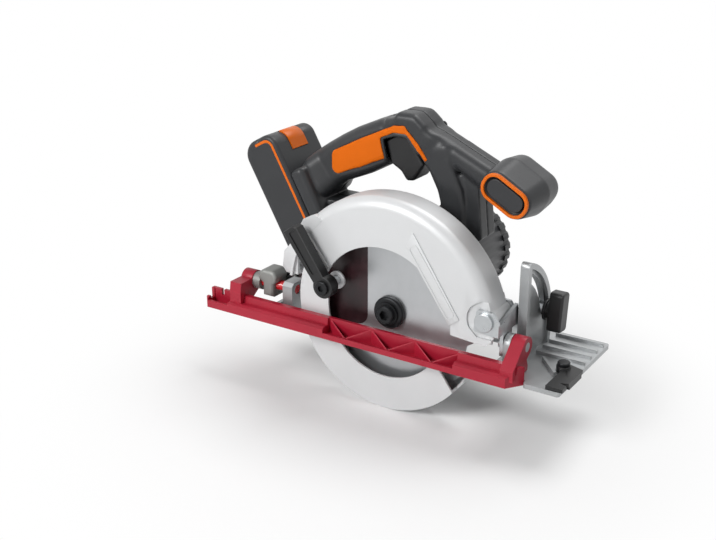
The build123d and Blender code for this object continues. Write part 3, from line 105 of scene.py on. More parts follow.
class SawColours(bpy.types.PropertyGroup):
    """Colours of the saw's finishes."""

    guard: colour_property("Guard", "Silver powder coat of the blade guards", "d0d1d2")
    dull_casting: colour_property("Knuckle", "Dull die-cast alloy of the rear tilt bracket", "8a8b88")
    casting: colour_property("Casting", "Tumbled aluminium of the sole and gear case", "a6a8a9")
    sheet: colour_property("Sheet steel", "Zinc plate on brackets, pins and screws", "b9bcbe")
    blade: colour_property("Blade", "Ground steel of the blade", "b6b8ba")
    ink: colour_property("Blade print", "Ink printed on the blade", "2a1418")
    oxide: colour_property("Black oxide", "Blackened steel of flange and screws", "202123")
    crimson: colour_property("Guide bar", "Crimson nylon of the guide bar", "a3182f")
    enamel: colour_property("Pivot rod", "Red enamel of the rear pivot rod", "c31a22")
    charcoal: colour_property("Housing", "Charcoal nylon of the handle and motor housing", "303133")
    black: colour_property("Black plastic", "Black nylon of knobs, levers and trigger", "1a1a1b")
    orange: colour_property("Orange", "Orange of the grip panels, ring and button", "da6600")
    copper: colour_property("Windings", "Enamelled copper of the motor", "b0693a")
    sleeve: colour_property("Cell sleeve", "Shrink sleeve of the battery cells", "2f6f86")


class SawSizes(bpy.types.PropertyGroup):
    """Small sizes that are not in the solids."""

    edge_round: FloatProperty(
        name="Edge round", description="Radius that breaks the sharp edges", unit="LENGTH", default=0.35 * MM)
    tip_width: FloatProperty(
        name="Kerf", description="Width of the carbide tips", unit="LENGTH", default=2.2 * MM)
    ink_depth: FloatProperty(
        name="Ink", description="Depth of the print on the blade", unit="LENGTH", default=0.06 * MM)
    stripe_width: FloatProperty(
        name="Stripe", description="Width of the battery's inlaid stripe", unit="LENGTH", default=2.4 * MM)
    frame_width: FloatProperty(
        name="Band frame", description="Width of the frame on the guard", unit="LENGTH", default=0.9 * MM)
    window_radius: FloatProperty(
        name="Window", description="Radius of the guard's window", unit="LENGTH", default=62.5 * MM)
    tooth_count: IntProperty(
        name="Teeth", description="Number of teeth of the blade", default=24)
    scallop_count: IntProperty(
        name="Scallops", description="Number of scallops of the motor cap", default=27)
    skin_step: FloatProperty(
        name="Skin", description="Face size of the moulded handle skins", unit="LENGTH", default=0.8 * MM)
    mould_rounds: IntProperty(
        name="Mould rounds", description="Passes that round over moulded edges", default=20)


class SawStage(bpy.types.PropertyGroup):
    """Camera and light of the studio."""

    azimuth: FloatProperty(
        name="Azimuth", description="Turn of the camera", subtype="ANGLE", default=radians(32.9))
    elevation: FloatProperty(
        name="Elevation", description="Height angle of the camera", subtype="ANGLE", default=radians(21.2))
    place: FloatVectorProperty(
        name="Camera", description="Place of the camera", subtype="XYZ", unit="LENGTH", size=3,
        default=(0.4476, -0.7440, 0.4021))
    lens: FloatProperty(name="Lens", description="Focal length on a 36 mm sensor", default=55.3)
    floor: colour_property("Floor", "Pale floor of the studio", "f4f4f4")
    key: FloatProperty(name="Key", description="Power of the main softbox", unit="POWER", default=31)
    top: FloatProperty(name="Top", description="Power of the overhead softbox", unit="POWER", default=16)
    fill: FloatProperty(name="Fill", description="Power of the fill softbox", unit="POWER", default=1.2)
    sky: FloatProperty(name="Sky", description="Strength of the even light all round", default=0.16)


# Materials

# Stretch of a noise texture's output that holds nearly all of it
NOISE_RANGE = (0.3, 0.7)


def add_node(tree, kind, inputs=None, **settings):
    """Node of a kind, with its settings, and its inputs set to values or linked to outputs."""
    made = tree.nodes.new(kind)
    for key, value in settings.items():
        setattr(made, key, value)
    for key, value in (inputs or {}).items():
        if isinstance(value, bpy.types.NodeSocket):
            tree.links.new(value, made.inputs[key])
        else:
            made.inputs[key].default_value = value
    return made


def shade(colour, factor):
    """Colour made lighter or darker, with full alpha."""
    return [min(1.0, part * factor) for part in colour] + [1.0]


def surface(name, colour, rough, patch_mm, grain_mm=None, depth_mm=0.0, spread=0.08, metallic=0.0, **sockets):
    """Material with slow changes of tone and gloss from patch to patch, and a fine grain in relief.

    Moulded and sprayed grains are often finer than half a millimetre, which does not show in the render,
    so they are drawn at about that size or coarser.
    """
    material = bpy.data.materials.new(name)
    material.use_nodes = True
    material.diffuse_color = shade(colour, 1)
    tree = material.node_tree
    shader = tree.nodes["Principled BSDF"]
    shader.inputs["Metallic"].default_value = metallic
    for socket, value in sockets.items():
        shader.inputs[socket.replace("_", " ")].default_value = value
    place = add_node(tree, "ShaderNodeTexCoord").outputs["Object"]
    patch = add_node(tree, "ShaderNodeTexNoise", {
        "Vector": place, "Scale": 1 / (patch_mm * MM), "Detail": 4.0})
    tone = add_node(tree, "ShaderNodeValToRGB", {"Fac": patch.outputs["Fac"]})
    dark, light = tone.color_ramp.elements
    dark.position, light.position = NOISE_RANGE
    dark.color = shade(colour, 1 - spread)
    light.color = shade(colour, 1 + spread)
    gloss = add_node(tree, "ShaderNodeMapRange", {
        "Value": patch.outputs["Fac"], "From Min": NOISE_RANGE[0], "From Max": NOISE_RANGE[1],
        "To Min": rough[0], "To Max": rough[1]})
    tree.links.new(tone.outputs["Color"], shader.inputs["Base Color"])
    tree.links.new(gloss.outputs["Result"], shader.inputs["Roughness"])
    if grain_mm:
        grain = add_node(tree, "ShaderNodeTexNoise", {
            "Vector": place, "Scale": 1 / (grain_mm * MM), "Detail": 2.0})
        relief = add_node(tree, "ShaderNodeBump", {
            "Height": grain.outputs["Fac"], "Distance": depth_mm * MM, "Strength": 1.0})
        tree.links.new(relief.outputs["Normal"], shader.inputs["Normal"])
    return material


def powder_coat_silver(colours):
    """Silver powder coat on die-cast guards: pale, a soft sheen and a trace of orange peel."""
    return surface(
        "powder_coat_silver", colours.guard, rough=(0.42, 0.48), patch_mm=30, grain_mm=1.6, depth_mm=0.008,
        spread=0.02, metallic=0.2)


def tumbled_aluminium(colours):
    """Die-cast aluminium, tumbled: dull silver with a fine pebbled skin."""
    return surface(
        "tumbled_aluminium", colours.casting, rough=(0.38, 0.46), patch_mm=14, grain_mm=0.9, depth_mm=0.012,
        spread=0.04, metallic=0.75)


def dull_die_casting(colours):
    """Die-cast alloy left as cast: mid grey and dull."""
    return surface(
        "dull_die_casting", colours.dull_casting, rough=(0.45, 0.55), patch_mm=10, grain_mm=0.9,
        depth_mm=0.015, spread=0.06, metallic=0.4)


def zinc_plated_steel(colours):
    """Pressed and turned steel, zinc plated: bright, with a faint mottling."""
    return surface(
        "zinc_plated_steel", colours.sheet, rough=(0.26, 0.34), patch_mm=9, grain_mm=1.2, depth_mm=0.003,
        spread=0.05, metallic=1.0)


def black_oxide_steel(colours):
    """Blackened steel: near black with a dull oily gloss."""
    return surface(
        "black_oxide_steel", colours.oxide, rough=(0.34, 0.44), patch_mm=8, grain_mm=0.8, depth_mm=0.008,
        spread=0.1, metallic=0.6)


def moulded_crimson_nylon(colours):
    """Glass-filled nylon, moulded in crimson: satin with a fine spark-eroded grain."""
    return surface(
        "moulded_crimson_nylon", colours.crimson, rough=(0.36, 0.44), patch_mm=24, grain_mm=0.7,
        depth_mm=0.012, spread=0.05, IOR=1.53, Specular_IOR_Level=0.35)


def red_enamel(colours):
    """Sprayed red enamel on the pivot rod: bright and glossy."""
    return surface(
        "red_enamel", colours.enamel, rough=(0.2, 0.26), patch_mm=20, grain_mm=1.5, depth_mm=0.01,
        spread=0.04, Coat_Weight=0.4)


def moulded_charcoal_nylon(colours):
    """Glass-filled nylon, moulded in charcoal: matt with a leathery spark-eroded grain."""
    return surface(
        "moulded_charcoal_nylon", colours.charcoal, rough=(0.36, 0.44), patch_mm=26, grain_mm=0.6,
        depth_mm=0.012, spread=0.05, IOR=1.53, Specular_IOR_Level=0.3)


def moulded_black_nylon(colours):
    """Black nylon mouldings: satin, a little glossier than the housing."""
    return surface(
        "moulded_black_nylon", colours.black, rough=(0.36, 0.44), patch_mm=18, grain_mm=0.7, depth_mm=0.012,
        spread=0.08, IOR=1.53, Specular_IOR_Level=0.35)


def soft_orange_rubber(colours):
    """Thermoplastic rubber moulded over the grip: matt, with fine pips."""
    return surface(
        "soft_orange_rubber", colours.orange, rough=(0.5, 0.6), patch_mm=22, grain_mm=0.9, depth_mm=0.03,
        spread=0.04, Specular_IOR_Level=0.15)


def satin_orange_abs(colours):
    """Orange ABS trim: even and satin."""
    return surface(
        "satin_orange_abs", colours.orange, rough=(0.32, 0.4), patch_mm=20, grain_mm=0.8, depth_mm=0.01,
        spread=0.03, Specular_IOR_Level=0.25)


def enamelled_copper(colours):
    """Wound and varnished copper: warm metal under a clear skin."""
    return surface(
        "enamelled_copper", colours.copper, rough=(0.3, 0.4), patch_mm=6, grain_mm=0.5, depth_mm=0.03,
        spread=0.15, metallic=1.0, Coat_Weight=0.3)


def shrink_sleeve(colours):
    """Shrink film on the battery cells: smooth and glossy."""
    return surface(
        "shrink_sleeve", colours.sleeve, rough=(0.24, 0.3), patch_mm=20, grain_mm=2.0, depth_mm=0.02,
        spread=0.06)


def printed_ink(colours):
    """Screen-printed ink on the blade: dark, half gloss, slightly uneven in cover."""
    return surface(
        "printed_ink", colours.ink, rough=(0.3, 0.42), patch_mm=6, grain_mm=0.5, depth_mm=0.008, spread=0.25)


def brazed_carbide(colours):
    """Sintered carbide of the tooth tips, ground: a darker grey than the blade, and finer."""
    grey = [part * 0.6 for part in colours.blade]
    return surface(
        "brazed_carbide", grey, rough=(0.26, 0.34), patch_mm=4, grain_mm=0.4, depth_mm=0.01, metallic=1.0)


def ground_blade_steel(colours):
    """Tool steel, ground on a turning table: fine rings about the arbor.

    Real grinding lines are under 0.1 mm apart, so they are drawn 4.4 mm apart to show in the render.
    """
    line_spacing = 4.4 * MM
    line_depth = 0.0012 * MM
    # Distance between the rings of a wave texture whose scale is one
    unit_spacing = pi / 10
    material = surface(
        "ground_blade_steel", colours.blade, rough=(0.3, 0.36), patch_mm=12, spread=0.03, metallic=0.9,
        Anisotropic=0.4)
    tree = material.node_tree
    low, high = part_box("blade")
    centre = (Vector(low) + Vector(high)) / 2
    place = add_node(tree, "ShaderNodeTexCoord").outputs["Object"]
    moved = add_node(tree, "ShaderNodeMapping", {"Vector": place, "Location": -centre})
    about_arbor = moved.outputs["Vector"]
    rings = add_node(
        tree, "ShaderNodeTexWave",
        {"Vector": about_arbor, "Scale": unit_spacing / line_spacing, "Distortion": 0.2, "Detail": 1.0},
        wave_type="RINGS", rings_direction="Y")
    lines = add_node(tree, "ShaderNodeBump", {
        "Height": rings.outputs["Fac"], "Distance": line_depth, "Strength": 1.0})
    round_arbor = add_node(tree, "ShaderNodeTangent", direction_type="RADIAL", axis="Y")
    shader = tree.nodes["Principled BSDF"]
    tree.links.new(lines.outputs["Normal"], shader.inputs["Normal"])
    tree.links.new(round_arbor.outputs["Tangent"], shader.inputs["Tangent"])
    return material


FINISHES = {
    "cast_alloy": tumbled_aluminium,
    "guard_paint": powder_coat_silver,
    "grey_casting": dull_die_casting,
    "sheet_steel": zinc_plated_steel,
    "blade_steel": ground_blade_steel,
    "black_steel": black_oxide_steel,
    "red_plastic": moulded_crimson_nylon,
    "red_paint": red_enamel,
    "grey_plastic": moulded_charcoal_nylon,
    "black_plastic": moulded_black_nylon,
    "orange_rubber": soft_orange_rubber,
    "orange_plastic": satin_orange_abs,
    "copper": enamelled_copper,
    "cell_wrap": shrink_sleeve,
    "ink": printed_ink,
    "carbide": brazed_carbide,
}


def finish(key):
    """The material of a finish, made at its first use."""
    maker = FINISHES[key]
    found = bpy.data.materials.get(maker.__name__)
    return found or maker(bpy.context.scene.saw_colours)


# Dressing the CAD nodes

def coat(name):
    """CAD node, given the finish of its slot."""
    node = frame["nodes"][name]
    node.data.materials.clear()
    node.data.materials.append(finish(NODE_SLOT[name]))
    return node


def dress(*names):
    """Give CAD nodes their finish and slightly rounded edges."""
    for name in names:
        soften(coat(name))


def join_seams(piece):
    """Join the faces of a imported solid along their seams."""
    weld = piece.modifiers.new("Join seams", "WELD")
    weld.merge_threshold = SEAM_GAP


def soften(piece):
    """Break the sharp edges so that they catch the light."""
    join_seams(piece)
    edge = piece.modifiers.new("Edge round", "BEVEL")
    edge.width = bpy.context.scene.saw_sizes.edge_round
    edge.segments = 2
    edge.limit_method = "ANGLE"
    edge.angle_limit = SHARP_ANGLE
    edge.harden_normals = True


def mould(*names):
    """Give moulded CAD nodes their finish, with all edges rounded over as a mould leaves them."""
    sizes = bpy.context.scene.saw_sizes
    for name in names:
        node = coat(name)
        skin = node.modifiers.new("Even skin", "REMESH")
        skin.mode = "VOXEL"
        skin.voxel_size = sizes.skin_step
        skin.use_smooth_shade = True
        relax = node.modifiers.new("Mould rounds", "SMOOTH")
        relax.factor = 0.5
        relax.iterations = sizes.mould_rounds


# Making new pieces

def mesh_now(piece, name):
    """Mesh of an object as its modifiers leave it."""
    bpy.context.view_layer.update()
    seen = piece.evaluated_get(bpy.context.evaluated_depsgraph_get())
    mesh = bpy.data.meshes.new_from_object(seen)
    mesh.name = name
    return mesh


def shade_round(mesh):
    """Shade a mesh as round, with its sharp edges kept."""
    mesh.shade_smooth()
    mesh.set_sharp_from_angle(angle=SHARP_ANGLE)


def worked(source, shape, operation, name):
    """Mesh of a CAD node with a shape added to it or cut out of it."""
    blank = bpy.data.objects.new(name + "_blank", frame["nodes"][source].data.copy())
    tool = bpy.data.objects.new(name + "_tool", to_mesh(shape, name + "_tool"))
    for item in (blank, tool):
        bpy.context.scene.collection.objects.link(item)
    join_seams(blank)
    cut = blank.modifiers.new("Work", "BOOLEAN")
    cut.operation = operation
    cut.solver = "EXACT"
    cut.object = tool
    mesh = mesh_now(blank, name)
    for item in (blank, tool):
        bpy.data.objects.remove(item)
    mesh.materials.clear()
    shade_round(mesh)
    return mesh


def to_mesh(shape, name):
    """Mesh of a finished shape, with its faces turned outward."""
    bmesh.ops.recalc_face_normals(shape, faces=shape.faces)
    mesh = bpy.data.meshes.new(name)
    shape.to_mesh(mesh)
    shape.free()
    return mesh


def place_piece(name, mesh, body, key):
    """New piece of the visual model, riding on a body, with the material of its finish."""
    piece = bpy.data.objects.new(name, mesh)
    bpy.context.scene.collection.objects.link(piece)
    piece.data.materials.append(finish(key))
    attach(piece, body)
    return piece


def place_shape(name, shape, body, key):
    """New piece of the visual model, made of a finished shape."""
    return place_piece(name, to_mesh(shape, name), body, key)


def side_plate(shape, points, near, far):
    """Add a plate to a shape: an outline of (x, z) points between two places on Y."""
    low = [shape.verts.new((x, near, z)) for x, z in points]
    high = [shape.verts.new((x, far, z)) for x, z in points]
    shape.faces.new(low)
    shape.faces.new(reversed(high))
    count = len(points)
    for index in range(count):
        after = (index + 1) % count
        shape.faces.new((low[after], low[index], high[index], high[after]))


def drawn_plate(shape, points, near, far):
    """Add a plate to a shape, drawn in millimetres."""
    side_plate(shape, [(x * MM, z * MM) for x, z in points], near * MM, far * MM)


def ribbon(shape, points, width, near, far, closed=False):
    """Add a ribbon to a shape: a line of (x, z) points given a width, between two places on Y."""
    count = len(points)
    rows = []
    for index in range(count):
        before = points[index - 1] if closed or index > 0 else points[index]
        after = points[(index + 1) % count] if closed or index < count - 1 else points[index]
        along = Vector((after[0] - before[0], after[1] - before[1])).normalized() * width / 2
        left = (points[index][0] - along.y, points[index][1] + along.x)
        right = (points[index][0] + along.y, points[index][1] - along.x)
        corners = ((near, left), (near, right), (far, right), (far, left))
        rows.append([shape.verts.new((x, y, z)) for y, (x, z) in corners])
    for index in range(count if closed else count - 1):
        row = rows[index]
        following = rows[(index + 1) % count]
        for place in range(4):
            beside = (place + 1) % 4
            shape.faces.new((row[place], row[beside], following[beside], following[place]))
    if not closed:
        shape.faces.new(rows[0])
        shape.faces.new(reversed(rows[-1]))


def turn_forward(shape):
    """Turn a shape drawn in side view about Z: its outline is then seen from the front, and -Y becomes X."""
    bmesh.ops.rotate(shape, verts=shape.verts, matrix=Matrix.Rotation(radians(90), 3, "Z"))


def polar(centre, r, angle):
    """Point at a radius and an angle in degrees about a centre."""
    return (centre[0] + r * cos(radians(angle)), centre[1] + r * sin(radians(angle)))


def arc(centre, r, start, end, count):
    """Points spread evenly along an arc, from one angle in degrees to another."""
    return [polar(centre, r, start + (end - start) * step / (count - 1)) for step in range(count)]


def on_rail(along, behind):
    """Side view point that many mm along the battery rail and behind it, in metres."""
    up = JOINTS["battery_slide"]["axis"]
    back = JOINTS["battery_release_press"]["axis"]
    x = RAIL_FOOT[0] + along * up[0] + behind * back[0]
    z = RAIL_FOOT[1] + along * up[2] + behind * back[2]
    return (x * MM, z * MM)


def risen(value, start, end):
    """Share from nought to one, as a value goes from a start to an end."""
    return min(1.0, max(0.0, (value - start) / (end - start)))


class SAW_OT_base(bpy.types.Operator):
    """Sole with its bevel quadrant, guide bar and sight insert"""

    bl_idname = "saw.base"
    bl_label = "Base"

    def execute(self, context):
        dress("sole_plate", "bevel_quadrant", "guide_bar", "front_pivot_pin")
        dress("rear_pivot_rod", "sight_insert", "sight_screw")
        self.ear_foot()
        return {"FINISHED"}

    def ear_foot(self):
        """Foot that spreads the front ear of the guide bar over the sole, beside the quadrant."""
        outline = ((-18, 4.6), (3, 4.6), (3, 9.4), (-1.5, 19), (-10, 20))
        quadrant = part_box("bevel_quadrant")[0][0] / MM
        rear = quadrant + 5.7
        front = quadrant + 16.8
        shape = bmesh.new()
        drawn_plate(shape, outline, -rear, -front)
        turn_forward(shape)
        soften(place_shape("guide_bar_foot", shape, "base", "red_plastic"))


class SAW_OT_bevel_frame(bpy.types.Operator):
    """Tilting frame with the depth link, and its two locks"""

    bl_idname = "saw.bevel_frame"
    bl_label = "Bevel frame"

    def execute(self, context):
        dress("front_bracket", "rear_tilt_bracket", "depth_link", "link_rivets")
        dress("depth_pivot_pin", "bevel_stud", "bevel_knob", "depth_lock_lever", "depth_lock_stud")
        self.knuckle_barrel()
        return {"FINISHED"}

    def knuckle_barrel(self):
        """Barrel of the rear knuckle round the pivot rod, up to the ear of the guide bar."""
        axis = (0, JOINTS["bevel_tilt"]["pos_m"][2])
        middle_radius = 6.4 * MM
        wall = 3.2 * MM
        front = -136.4 * MM
        rear = -144.2 * MM
        ring = arc(axis, middle_radius, start=0, end=350, count=36)
        shape = bmesh.new()
        ribbon(shape, ring, wall, -front, -rear, closed=True)
        turn_forward(shape)
        mesh = to_mesh(shape, "knuckle_barrel")
        shade_round(mesh)
        place_piece("knuckle_barrel", mesh, "bevel_frame", "grey_casting")


class SAW_OT_guards(bpy.types.Operator):
    """Upper guard, and lower guard with its lever"""

    bl_idname = "saw.guards"
    bl_label = "Guards"

    def execute(self, context):
        dress("upper_guard", "guard_hub", "guard_spring", "guard_screws")
        dress("lower_guard", "lower_guard_lever", "lever_spacer", "lever_screw")
        self.right_wall(context.scene.saw_sizes.window_radius / MM)
        self.band_frame(context.scene.saw_sizes.frame_width)
        self.lever_web()
        return {"FINISHED"}

    def right_wall(self, radius):
        """Upper guard with the right wall's window, rear corner and skirt below the nose drawn in full."""
        inside = GUARD_FACE + 2.7
        proud = 0.2
        skirt_back = GUARD_FACE + 1.9
        web_front = GUARD_FACE + 2.0
        web_back = GUARD_FACE + 3.4
        rear_corner = (
            (-77, 88), (-82.4, 95.4), (-79.3, 101.2), (-72.8, 104.8), (-67.1, 107.4), (-60, 103), (-70, 92))
        skirt = (
            (66, 38), (66.4, 27.8), (84, 26.2), (98, 25.6), (103, 29.5), (103.5, 31.5), (90, 31.5), (83, 38),
            (76, 42))
        nose_web = ((84, 27.2), (103, 27.2), (104, 34), (104, 38.5), (84, 40))
        shape = bmesh.new()
        drawn_plate(shape, self.arch(radius), GUARD_FACE, inside)
        drawn_plate(shape, rear_corner, GUARD_FACE - proud, inside - proud)
        drawn_plate(shape, skirt, GUARD_FACE, skirt_back)
        drawn_plate(shape, nose_web, web_front, web_back)
        mesh = worked("upper_guard", shape, "UNION", "upper_guard_arch")
        piece = place_piece("upper_guard_arch", mesh, "saw_body", "guard_paint")
        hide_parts("upper_guard")
        soften(piece)

    def arch(self, radius):
        """Outline that narrows the window to a circle about the arbor; its outer edge is inside the wall."""
        arbor = (0, JOINTS["spindle_spin"]["pos_m"][2] / MM)
        wall_centre = (8, 26)
        wall_radius = 76
        window_edge = arc(arbor, radius, start=152, end=56, count=25)
        band_end = [(35.6, 78.7), (41, 80), (30, 100)]
        outer_edge = arc(wall_centre, wall_radius, start=78, end=143, count=14)
        lever_end = [(-55.5, 58.6)]
        return window_edge + band_end + outer_edge + lever_end

    def band_frame(self, width):
        """Raised frame round the straight band of the upper guard."""
        first = Vector((29.5, 97.5)) * MM
        last = Vector((66.8, 43.2)) * MM
        half_band = 3.9 * MM
        bend = 2.2 * MM
        bend_cut = 0.3
        proud = 0.4
        sunk = 0.2
        along = (last - first).normalized()
        across = Vector((-along.y, along.x)) * half_band
        line = []
        for start, end, out in ((first, last, -across), (last, first, across)):
            way = (end - start).normalized() * bend
            inset = out.normalized() * bend
            line.append(start + out + way)
            line.append(end + out - way)
            line.append(end + out - (inset + way) * bend_cut)
            line.append(end + out - inset)
            line.append(end - out + inset)
            line.append(end - out + (inset - way) * bend_cut)
        shape = bmesh.new()
        ribbon(shape, line, width, (BAND_FACE - proud) * MM, (BAND_FACE + sunk) * MM, closed=True)
        place_shape("guard_band_frame", shape, "saw_body", "guard_paint")

    def lever_web(self):
        """Web that fills the channel of the lever to just under its rims."""
        boss = Vector((-48, 50))
        tip = Vector((-79, 93))
        end_gap = 5.8
        half_width = 4.0
        toward_tip = 7.5
        below_line = 1.2
        face = -33.2
        back = -26.0
        along = (tip - boss).normalized()
        across = Vector((-along.y, along.x))
        middle = (boss + tip) / 2 + along * toward_tip - across * below_line
        half_length = (tip - boss).length / 2 - end_gap
        corners = [
            middle + along * half_length * end + across * half_width * edge
            for end, edge in ((-1, -1), (1, -1), (1, 1), (-1, 1))
        ]
        shape = bmesh.new()
        drawn_plate(shape, corners, face, back)
        place_shape("lever_web", shape, "lower_guard", "black_plastic")


class SAW_OT_blade(bpy.types.Operator):
    """Blade with brazed tips and a printed panel, its flanges and bolt"""

    bl_idname = "saw.blade"
    bl_label = "Blade"

    def execute(self, context):
        dress("blade", "inner_flange", "outer_flange", "blade_bolt", "spindle", "drive_gear")
        sizes = context.scene.saw_sizes
        low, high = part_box("blade")
        centre = ((low[0] + high[0]) / 2, (low[2] + high[2]) / 2)
        radius = (high[0] - low[0]) / 2
        self.carbide_tips(centre, radius, sizes)
        self.print_panel(centre, radius, low[1], sizes)
        return {"FINISHED"}

    def carbide_tips(self, centre, radius, sizes):
        """Tip brazed to each tooth, its corners given in mm below the rim and degrees behind the point."""
        corners = ((0, 0), (0.5, 1.8), (6.2, 3.3), (6.4, 1.5))
        half = sizes.tip_width / 2
        shape = bmesh.new()
        for index in range(sizes.tooth_count):
            turn = 360 * index / sizes.tooth_count
            tip = [polar(centre, radius - below * MM, turn - behind) for below, behind in corners]
            side_plate(shape, tip, -half, half)
        place_shape("blade_carbide_tips", shape, "spindle", "carbide")

    def print_panel(self, centre, radius, face, sizes):
        """Dark printed panel behind the arbor, with a rounded lower corner."""
        rim = radius - 13 * MM
        edge = centre[0] - 23 * MM
        floor = centre[1] - 19 * MM
        corner = 11 * MM
        outline = arc(centre, rim, start=109.5, end=197.5, count=17)
        outline.append((edge - corner, floor))
        outline.extend(arc((edge - corner, floor + corner), corner, start=-75, end=0, count=6))
        shape = bmesh.new()
        side_plate(shape, outline, face, face - sizes.ink_depth)
        place_shape("blade_print_panel", shape, "spindle", "ink")


class SAW_OT_drive(bpy.types.Operator):
    """Gear case and motor, with the spindle lock"""

    bl_idname = "saw.drive"
    bl_label = "Drive"

    def execute(self, context):
        dress("gear_case", "motor_housing", "motor_end_cap", "stator", "spindle_bearings", "motor_bearings")
        dress("motor_shaft", "armature", "commutator", "motor_fan", "spindle_lock_button")
        self.end_cap(context.scene.saw_sizes.scallop_count)
        return {"FINISHED"}

    def end_cap(self, count):
        """End cap with its scallops cut to their full depth."""
        notch_radius = 2.7 * MM
        notch_inset = 0.4 * MM
        past = 1 * MM
        low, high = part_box("motor_end_cap")
        centre = ((low[0] + high[0]) / 2, (low[2] + high[2]) / 2)
        rim = (high[0] - low[0]) / 2
        shape = bmesh.new()
        for index in range(count):
            turn = 360 * index / count
            middle = polar(centre, rim - notch_inset, turn)
            notch = arc(middle, notch_radius, start=turn, end=turn + 336, count=15)
            side_plate(shape, notch, low[1] - past, high[1] + past)
        mesh = worked("motor_end_cap", shape, "DIFFERENCE", "motor_cap_scalloped")
        piece = place_piece("motor_cap_scalloped", mesh, "saw_body", "grey_plastic")
        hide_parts("motor_end_cap")
        soften(piece)


class SAW_OT_handle(bpy.types.Operator):
    """Handle shells with their soft panels, trigger and front handle"""

    bl_idname = "saw.handle"
    bl_label = "Handle"

    def execute(self, context):
        mould("handle_right", "handle_left", "grip_panel_right", "grip_panel_left", "front_handle", "trigger")
        for side in ("right", "left"):
            self.half_shell("handle_" + side)
            self.soft_panel("grip_panel_" + side)
        dress("handle_screws", "front_handle_ring", "front_handle_cap")
        dress("switch_module", "terminal_block", "lock_off_button")
        return {"FINISHED"}

    def moulding(self, source):
        """Mesh of a moulded CAD node, whose modifiers are then taken off."""
        node = frame["nodes"][source]
        mesh = mesh_now(node, source + "_moulding")
        node.modifiers.clear()
        return mesh

    def place_moulding(self, mesh, source, key):
        """Piece that shows in place of a moulded CAD node."""
        if source.endswith("_left"):
            self.clear_bore(mesh)
        mesh.materials.clear()
        piece = place_piece(source + "_moulding", mesh, "saw_body", key)
        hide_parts(source)

    def half_shell(self, source):
        """Half of the handle as moulded, pressed down ahead of the pommel and in a step behind it."""
        # Place, reach and depth of each press, and the heights where it starts and is full, in mm
        shoulder_x, shoulder_reach, shoulder_drop = 11, 8.5, 5.2
        shoulder_start, shoulder_full = 160, 185
        step_x, step_reach, step_drop = -25.5, 6, 4.3
        step_start, step_full = 175, 189
        mesh = self.moulding(source)
        for vertex in mesh.vertices:
            x, z = vertex.co.x / MM, vertex.co.z / MM
            ahead = exp(-((x - shoulder_x) / shoulder_reach) ** 2)
            shoulder = shoulder_drop * ahead * risen(z, shoulder_start, shoulder_full)
            behind = exp(-((x - step_x) / step_reach) ** 4)
            rise = risen(z, step_start, step_full)
            step = step_drop * behind * rise * rise * (3 - 2 * rise)
            vertex.co.z -= (shoulder + step) * MM
        self.blend_limbs(mesh)
        self.place_moulding(mesh, source, "grey_plastic")

    def blend_limbs(self, mesh):
        """Blend the limbs of the handle into each other behind and ahead of the pommel, clear of the seam."""
        # Middle of each join in side view and its reach, in mm
        joins = ((-28, 185, 10), (20, 170, 17))
        seam_clear = 2.5
        passes = 50
        shape = bmesh.new()
        shape.from_mesh(mesh)
        for x, z, reach in joins:
            middle = Vector((x, z)) * MM
            near = [
                vertex for vertex in shape.verts
                if (vertex.co.xz - middle).length < reach * MM
                and abs(vertex.co.y / MM - HANDLE_SEAM) > seam_clear
            ]
            for _ in range(passes):
                bmesh.ops.smooth_vert(
                    shape, verts=near, factor=0.5, use_axis_x=True, use_axis_y=True, use_axis_z=True)
        shape.to_mesh(mesh)
        shape.free()

    def soft_panel(self, source):
        """Grip panel as moulded, its outline drawn out to round corners and up from the lower edge."""
        # Place of each push in side view, how far it goes forward and up, and its reach, in mm
        pushes = (
            (-81.6, 149.0, -0.9, 0.7, 3.0),
            (-80.6, 131.4, -0.9, -1.1, 3.2),
            (-60.0, 134.8, 0.0, 1.5, 14.0),
            (-40.0, 143.0, 0.0, 2.0, 14.0),
            (-30.4, 147.6, 1.2, 1.0, 5.0),
            (-9.8, 181.5, 0.3, 0.9, 4.0),
        )
        mesh = self.moulding(source)
        for vertex in mesh.vertices:
            x, z = vertex.co.x / MM, vertex.co.z / MM
            for middle_x, middle_z, forward, up, reach in pushes:
                share = exp(-((x - middle_x) ** 2 + (z - middle_z) ** 2) / reach ** 2)
                vertex.co.x += forward * MM * share
                vertex.co.z += up * MM * share
        self.place_moulding(mesh, source, "orange_rubber")

    def clear_bore(self, mesh):
        """Open the hole of the lock-off button to its full size again, so that the button slides freely."""
        middle = Vector((-14, 184)) * MM
        radius = 4.5 * MM
        for vertex in mesh.vertices:
            out = vertex.co.xz - middle
            if out.length < radius:
                vertex.co.xz = middle + out.normalized() * radius


class SAW_OT_battery(bpy.types.Operator):
    """Battery pack with its release button"""

    bl_idname = "saw.battery"
    bl_label = "Battery"

    def execute(self, context):
        dress("battery_case_front", "battery_case_rear", "battery_cells", "battery_release_button")
        low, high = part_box("battery_case_front")
        width = context.scene.saw_sizes.stripe_width
        self.stripe("battery_stripe_right", low[1], -1, width)
        self.stripe("battery_stripe_left", high[1], 1, width)
        return {"FINISHED"}

    def stripe(self, name, face, outward, width):
        """Inlaid stripe along the front edge of a battery side and round its top."""
        proud = 0.12 * MM
        sunk = 0.6 * MM
        front = 5.3
        line = [(4, front), (32, front), (61, front)]
        line.extend(arc((89.5, 12.3), 7, start=-90, end=0, count=7))
        line.append((96.5, 23))
        path = [on_rail(along, behind) for along, behind in line]
        shape = bmesh.new()
        ribbon(shape, path, width, face + outward * proud, face - outward * sunk)
        place_shape(name, shape, "battery", "orange_plastic")


